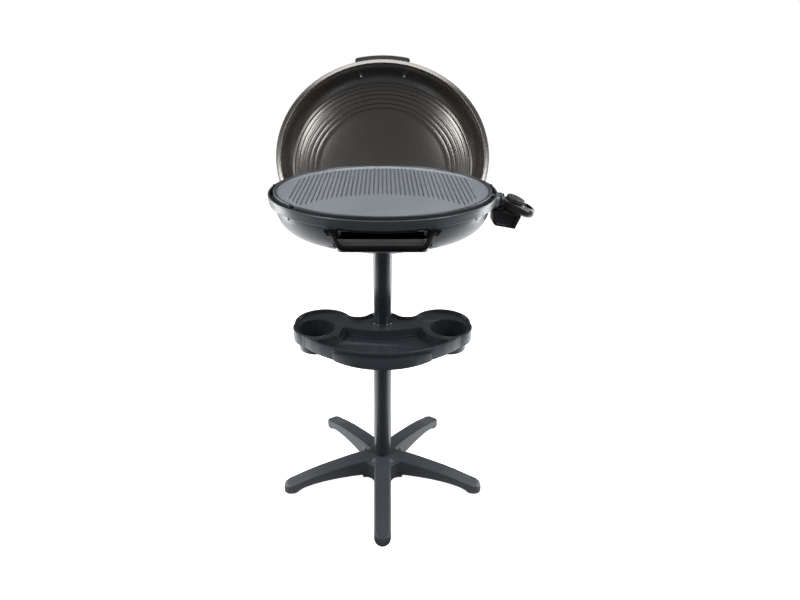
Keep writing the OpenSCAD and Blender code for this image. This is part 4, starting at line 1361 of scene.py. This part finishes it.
@dataclass
class Lid:
    """Stepped dome with its handle and arms, drawn closed and swung open about the hinge.

    A layer of the handle is its lower height, its thickness and its width.
    """

    open_angle: float = 128.0
    hinge: Point2 = (126.0, 740.0)
    seat: float = 774.0
    radius: float = 269.85
    dome_radius: float = 251.0
    dome_low: float = 11.0
    dome_rise: float = 103.0
    power: float = 2.15
    sheet: float = 1.6
    rings: tuple[float, ...] = (235.0, 228.0, 220.0, 211.0, 201.0, 190.0, 179.0)
    step: float = 2.2
    steps: int = 240
    sharp: float = 50.0
    crown_steps: int = 26
    handle_radius: float = 290.0
    handle_height: float = 30.0
    handle_length: float = 134.0
    handle_layers: tuple[Point3, ...] = ((22.0, 9.5, 17.0), (30.5, 7.5, 14.5))
    handle_corner: float = 3.2
    post_x: float = 59.0
    post_size: Point2 = (14.0, 15.0)
    post_corner: float = 5.0
    skin_grid: float = 1.0
    skin_rounds: int = 2

    def swing(self) -> Matrix:
        """Gives the move from the closed lid's own frame to its open place.

        Returns:
            The move in metres.
        """
        y, z = self.hinge
        turn = Matrix.Rotation(radians(-self.open_angle), 4, "X")
        to_hinge = Matrix.Translation((0, y * MM, z * MM)) @ turn
        return to_hinge @ Matrix.Translation((0, -y * MM, (self.seat - z) * MM))

    def dome(self, r: float) -> float:
        """Gives the inner face's height over the rim at a radius."""
        share = 1 - min(r / self.dome_radius, 1.0) ** self.power
        return self.dome_low + self.dome_rise * share ** (1 / self.power)

    def inner_profile(self) -> list[Point2]:
        """Gives the inner face from the rim to the crown, with its steps.

        Returns:
            (radius, height) points over the rim's plane.
        """
        points = [(250.6, 13.5), (250.0, 16.5)]
        points += [(r, self.dome(r)) for r in (249, 247.5, 245.5, 243, 240, 238)]
        for r in self.rings:
            base = self.dome(r)
            points += [(r + 0.5, base - 0.25), (r + 0.1, base + 0.25), (r - 0.3, base + 1.5),
                       (r - 0.7, base + self.step), (r - 1.6, base + self.step + 0.5)]
            points += [(r - k, self.dome(r - k) + self.step * (1 - k / 9)) for k in (3.5, 6.0)]
        last = self.rings[-1] - 12
        turns = [radians(90 * i / self.crown_steps) for i in range(self.crown_steps)]
        points += [(last * cos(t), self.dome(last * cos(t))) for t in turns]
        return [*points, (0.0, self.dome(0.0))]

    def shell(self) -> bpy.types.Object:
        """Makes the dome with its rolled rim.

        Returns:
            The dome in its open place.
        """
        r = self.radius
        inner = self.inner_profile()
        outer = [(x * (1 + self.sheet / self.dome_radius), z + self.sheet) for x, z in reversed(inner)]
        outer = [p for p in outer if p[1] > 16]
        rim = [(261, 12.4), (267, 9.6), *arc(r - 2.4, 6.6, 2.4, 60, 0, 3),
               *arc(r - 1.8, 1.8, 1.8, 0, -90, 4), (259.4, 0.0), *arc(257.8, -0.2, 1.3, 0, -180, 6),
               (256.2, 1.2), (254.6, 4.2), (252.4, 8.2)]
        made = revolve("lid_dome", [*inner, *outer, *rim], self.steps)
        return moved(smooth(made, self.sharp), self.swing())

    def grip(self) -> bpy.types.Object:
        """Makes the handle's two-layer bow with round ends, and its posts.

        Returns:
            The handle as one closed skin in its open place.
        """
        span = degrees(2 * atan2(self.handle_length / 2, self.handle_radius))
        start, end = -90 - span / 2, -90 + span / 2
        parts = []
        for low, thick, wide in self.handle_layers:
            path = [(*p, low + thick / 2) for p in arc(0, 0, self.handle_radius, start, end, 28)]
            parts.append(sweep("bow", path, rounded_rectangle(wide, thick, self.handle_corner, 4)))
            side, top = wide / 2, low + thick
            knuckle = [(0, low), (side - 2, low), (side, low + 2),
                       (side, top - 2), (side - 2, top), (0, top)]
            for turn in (radians(start), radians(end)):
                away = (self.handle_radius * cos(turn) * MM, self.handle_radius * sin(turn) * MM, 0)
                parts.append(moved(revolve("end", knuckle, 32), Matrix.Translation(away)))
        turn = degrees(atan2(self.post_x, self.dome_radius))
        lift = Matrix.Translation((0, 0, self.handle_height * MM))
        outward = Matrix.Rotation(radians(90), 4, "Y")
        for side in (-1, 1):
            post = prism("post", rounded_rectangle(*self.post_size, self.post_corner, 5),
                         self.dome_radius + 4, self.handle_radius - 2)
            about = Matrix.Rotation(radians(-90 + side * turn), 4, "Z")
            parts.append(moved(post, lift @ about @ outward))
        return moved(mould(join("lid_grip", parts), self.skin_grid, self.skin_rounds), self.swing())

    def build(self) -> None:
        """Builds and places the lid."""
        place(self.shell(), Finishes.LID, Body.LID, "lid_shell")
        place(self.grip(), Finishes.GRIP, Body.LID, "lid_handle")
        refine("handle_spacers", Finishes.HANDLE, Body.LID)
        refine("handle_screws", Finishes.STEEL, Body.LID, width=0.8)
        refine("hinge_arms", Finishes.HINGE, Body.LID, width=0.6)
        refine("arm_screws", Finishes.STEEL, Body.LID)


@dataclass
class Thermostat:
    """Plug-in control: grip with finger hole, ribbed neck, lower box, lamp and knob."""

    root: Point2 = (262.0, 754.0)
    tilt: float = 21.5
    roll: float = 5.0
    thickness: float = 22.0
    knob_at: float = 30.0
    knob_radius: float = 21.5
    knob_height: float = 9.0
    knob_overlap: float = 1.1
    pointer_size: Point2 = (2.2, 9.0)
    pointer_at: float = 13.0
    pointer_depth: float = 0.6
    rib_count: int = 30
    rib_radius: float = 1.5
    rib_drop: float = 3.0
    rib_lift: float = 0.6
    sharp: float = 40.0
    skin_grid: float = 0.8
    skin_rounds: int = 3
    neck_profile: tuple[Point2, ...] = (
        (0, 240), (14.8, 240), (16.2, 241.5), (16.2, 256.4), (17.2, 257), (17.2, 258.6), (16.0, 259.2),
        (16.0, 260), (17.4, 260.6), (17.4, 262.4), (15.5, 263.6), (15.5, 268), (0, 268))

    def frame(self) -> Matrix:
        """Gives the move from the grip's own frame to its place.

        Returns:
            The move in metres.
        """
        x, z = self.root
        turn = Matrix.Rotation(radians(self.tilt), 4, "Y") @ Matrix.Rotation(radians(self.roll), 4, "X")
        return Matrix.Translation((x * MM, 0, z * MM)) @ turn

    def neck(self) -> bpy.types.Object:
        """Makes the round neck with its raised ribs.

        Returns:
            The neck, lying along its axis.
        """
        made = revolve("ribbed_neck", self.neck_profile, 64)
        lying = Matrix.Translation((0, 0, self.root[1] * MM)) @ Matrix.Rotation(radians(90), 4, "Y")
        return smooth(bevel(moved(made, lying), 0.3))

    def knob(self) -> bpy.types.Object:
        """Makes the knob with its grip ribs and a pointer notch.

        Returns:
            The knob in its place on the grip.
        """
        base = self.thickness / 2 - self.knob_overlap
        r, h = self.knob_radius, self.knob_height
        shoulder = base + h - 2.6
        cap = revolve("cap", [(0, base), (r - 0.8, base), (r, base + 0.8), (r - 0.9, shoulder),
                              *arc(r - 3.4, shoulder, 2.5, 0, 90, 5), (r - 8, base + h + 0.3),
                              (0, base + h + 0.9)], 72)
        pointer = prism("pointer", rounded_rectangle(*self.pointer_size, 1, 4),
                        base + h - self.pointer_depth, base + h + 3)
        cut(cap, moved(pointer, Matrix.Translation((0, self.pointer_at * MM, 0))))
        tall = h - self.rib_drop
        ribs = RIBS.grow("ribs", self.rib_count, r - self.rib_radius, self.rib_radius, tall)
        moved(ribs, Matrix.Translation((0, 0, (base + tall / 2 + self.rib_lift) * MM)))
        made = join("control_dial", [cap, ribs])
        return moved(smooth(made, self.sharp), self.frame() @ Matrix.Translation((self.knob_at * MM, 0, 0)))

    def build(self) -> None:
        """Builds and places the control."""
        grip = merged_copy("controller_grip", "control_grip")
        mould(grip, self.skin_grid, self.skin_rounds)
        place(grip, Finishes.CONTROL, Body.CONTROLLER, "controller_grip")
        place(self.neck(), Finishes.CONTROL, Body.CONTROLLER, "controller_neck")
        refine("controller_box", Finishes.BOX, Body.CONTROLLER, width=1.4)
        refine("cord_inlet", Finishes.GLAND, Body.CONTROLLER)
        refine("thermostat_probe", Finishes.STEEL, Body.CONTROLLER)
        refine("thermostat_switch", Finishes.CERAMIC, Body.CONTROLLER)
        refine("pilot_lamp", Finishes.LENS, Body.CONTROLLER)
        place(self.knob(), Finishes.KNOB, Body.KNOB, "control_knob")
        refine("knob_shaft", Finishes.STEEL, Body.KNOB)


@dataclass
class Studio:
    """Camera, floor, world and soft lamps.

    Places and the lamps' sizes are in metres, the floor's half width is in millimetres. A lamp is its
    name, its place, the point that it aims at, its width and height, and its power in watts.
    """

    eye: Point3 = (0.0, -1.290, 1.0904)
    pitch: float = 24.174
    lens: float = 26.652
    shift: float = 0.0218
    sensor: float = 36.0
    clip: Point2 = (0.05, 60.0)
    floor_half: float = 30000.0
    floor_roughness: float = 0.9
    floor_paper: float = 0.9
    floor_glow: float = 0.87
    mirror_glow: float = 0.85
    mirror_from: float = -0.75
    mirror_to: float = 0.35
    dark_to: float = 0.0
    dark_front: float = 0.06
    pale_back: float = 0.9
    world_level: float = 0.16
    lamps: list[tuple[str, Point3, Point3, Point2, float]] = field(default_factory=lambda: [
        ("left_rim_box", (-1.5, 0.7, 0.9), (0.0, 0.0, 0.6), (0.7, 2.2), 26.0),
        ("right_rim_box", (1.5, 0.7, 0.9), (0.0, 0.0, 0.6), (0.7, 2.2), 26.0),
        ("left_high_box", (-1.35, -0.75, 1.75), (0.0, 0.0, 0.7), (0.5, 1.2), 24.0),
        ("right_high_box", (1.35, -0.75, 1.75), (0.0, 0.0, 0.7), (0.5, 1.2), 24.0),
        ("top_box", (0.0, 0.55, 2.3), (0.0, 0.0, 0.7), (1.2, 0.7), 16.0),
    ])

    def camera(self) -> None:
        """Makes the camera at the photograph's place."""
        data = bpy.data.cameras.new("camera")
        data.lens = self.lens
        data.sensor_width = self.sensor
        data.shift_x = self.shift
        data.clip_start, data.clip_end = self.clip
        made = new_object("camera", data)
        made.location = self.eye
        made.rotation_euler = (radians(90 - self.pitch), 0, 0)
        bpy.context.scene.camera = made

    def floor(self) -> None:
        """Makes the pale floor, white to the camera, and mirrored bright at the sides and the back."""
        bm = bmesh.new()
        bmesh.ops.create_grid(bm, x_segments=1, y_segments=1, size=self.floor_half)
        made = to_object(bm, "floor")
        material = bpy.data.materials.new("floor_paper")
        material.use_nodes = True
        tree, links = material.node_tree, material.node_tree.links
        shader = tree.nodes["Principled BSDF"]
        shader.inputs["Roughness"].default_value = self.floor_roughness
        shader.inputs["Emission Color"].default_value = WHITE
        path = add_node(tree, "ShaderNodeLightPath")
        place_of = add_node(tree, "ShaderNodeTexCoord")
        unit = add_node(tree, "ShaderNodeVectorMath", operation="NORMALIZE")
        parts = add_node(tree, "ShaderNodeSeparateXYZ")
        behind = add_node(tree, "ShaderNodeMapRange", {
            "From Min": self.mirror_from, "From Max": self.mirror_to, "To Max": self.mirror_glow})
        mirrored = add_node(tree, "ShaderNodeMath", operation="MULTIPLY")
        seen = add_node(tree, "ShaderNodeMath", {1: self.floor_glow}, operation="MULTIPLY_ADD")
        shade = add_node(tree, "ShaderNodeMapRange", {
            "From Min": self.mirror_from, "From Max": self.dark_to,
            "To Min": self.dark_front, "To Max": self.pale_back})
        pale = (self.floor_paper, self.floor_paper, self.floor_paper, 1)
        paper = add_node(tree, "ShaderNodeMix", {"A": pale}, data_type="RGBA")
        links.new(place_of.outputs["Object"], unit.inputs[0])
        links.new(unit.outputs["Vector"], parts.inputs[0])
        links.new(parts.outputs["Y"], behind.inputs["Value"])
        links.new(behind.outputs["Result"], mirrored.inputs[0])
        links.new(path.outputs["Is Glossy Ray"], mirrored.inputs[1])
        links.new(path.outputs["Is Camera Ray"], seen.inputs[0])
        links.new(mirrored.outputs[0], seen.inputs[2])
        links.new(parts.outputs["Y"], shade.inputs["Value"])
        links.new(path.outputs["Is Glossy Ray"], paper.inputs["Factor"])
        links.new(shade.outputs["Result"], paper.inputs["B"])
        links.new(paper.outputs["Result"], shader.inputs["Base Color"])
        links.new(seen.outputs[0], shader.inputs["Emission Strength"])
        made.data.materials.append(material)

    def world(self) -> None:
        """Makes a white world for the camera that lights the object at a plain level."""
        world = bpy.data.worlds.new("studio")
        bpy.context.scene.world = world
        world.use_nodes = True
        tree, links = world.node_tree, world.node_tree.links
        back = tree.nodes["Background"]
        back.inputs["Color"].default_value = WHITE
        path = add_node(tree, "ShaderNodeLightPath")
        level = add_node(tree, "ShaderNodeMapRange", {"To Min": self.world_level, "To Max": 1.0})
        links.new(path.outputs["Is Camera Ray"], level.inputs["Value"])
        links.new(level.outputs["Result"], back.inputs["Strength"])

    def lights(self) -> None:
        """Hangs the soft lamps."""
        for name, spot, aim, (wide, tall), power in self.lamps:
            data = bpy.data.lights.new(name, "AREA")
            data.shape = "RECTANGLE"
            data.size = wide
            data.size_y = tall
            data.energy = power
            made = new_object(name, data)
            made.location = spot
            made.rotation_euler = (Vector(aim) - Vector(spot)).to_track_quat("-Z", "Y").to_euler()
            made.visible_camera = False

    def build(self) -> None:
        """Builds the studio."""
        self.camera()
        self.floor()
        self.world()
        self.lights()
        bpy.context.scene.view_settings.view_transform = "Standard"


def main() -> None:
    """Builds every sub-assembly in order."""
    logging.basicConfig(level=logging.INFO, format="%(name)s: %(message)s")
    Studio().build()
    for part in (Stand(), Bowl(), GrillPlate(), DripDrawer(), Lid(), Thermostat()):
        log.info("building %s", type(part).__name__)
        part.build()


if __name__ == "__main__":
    main()
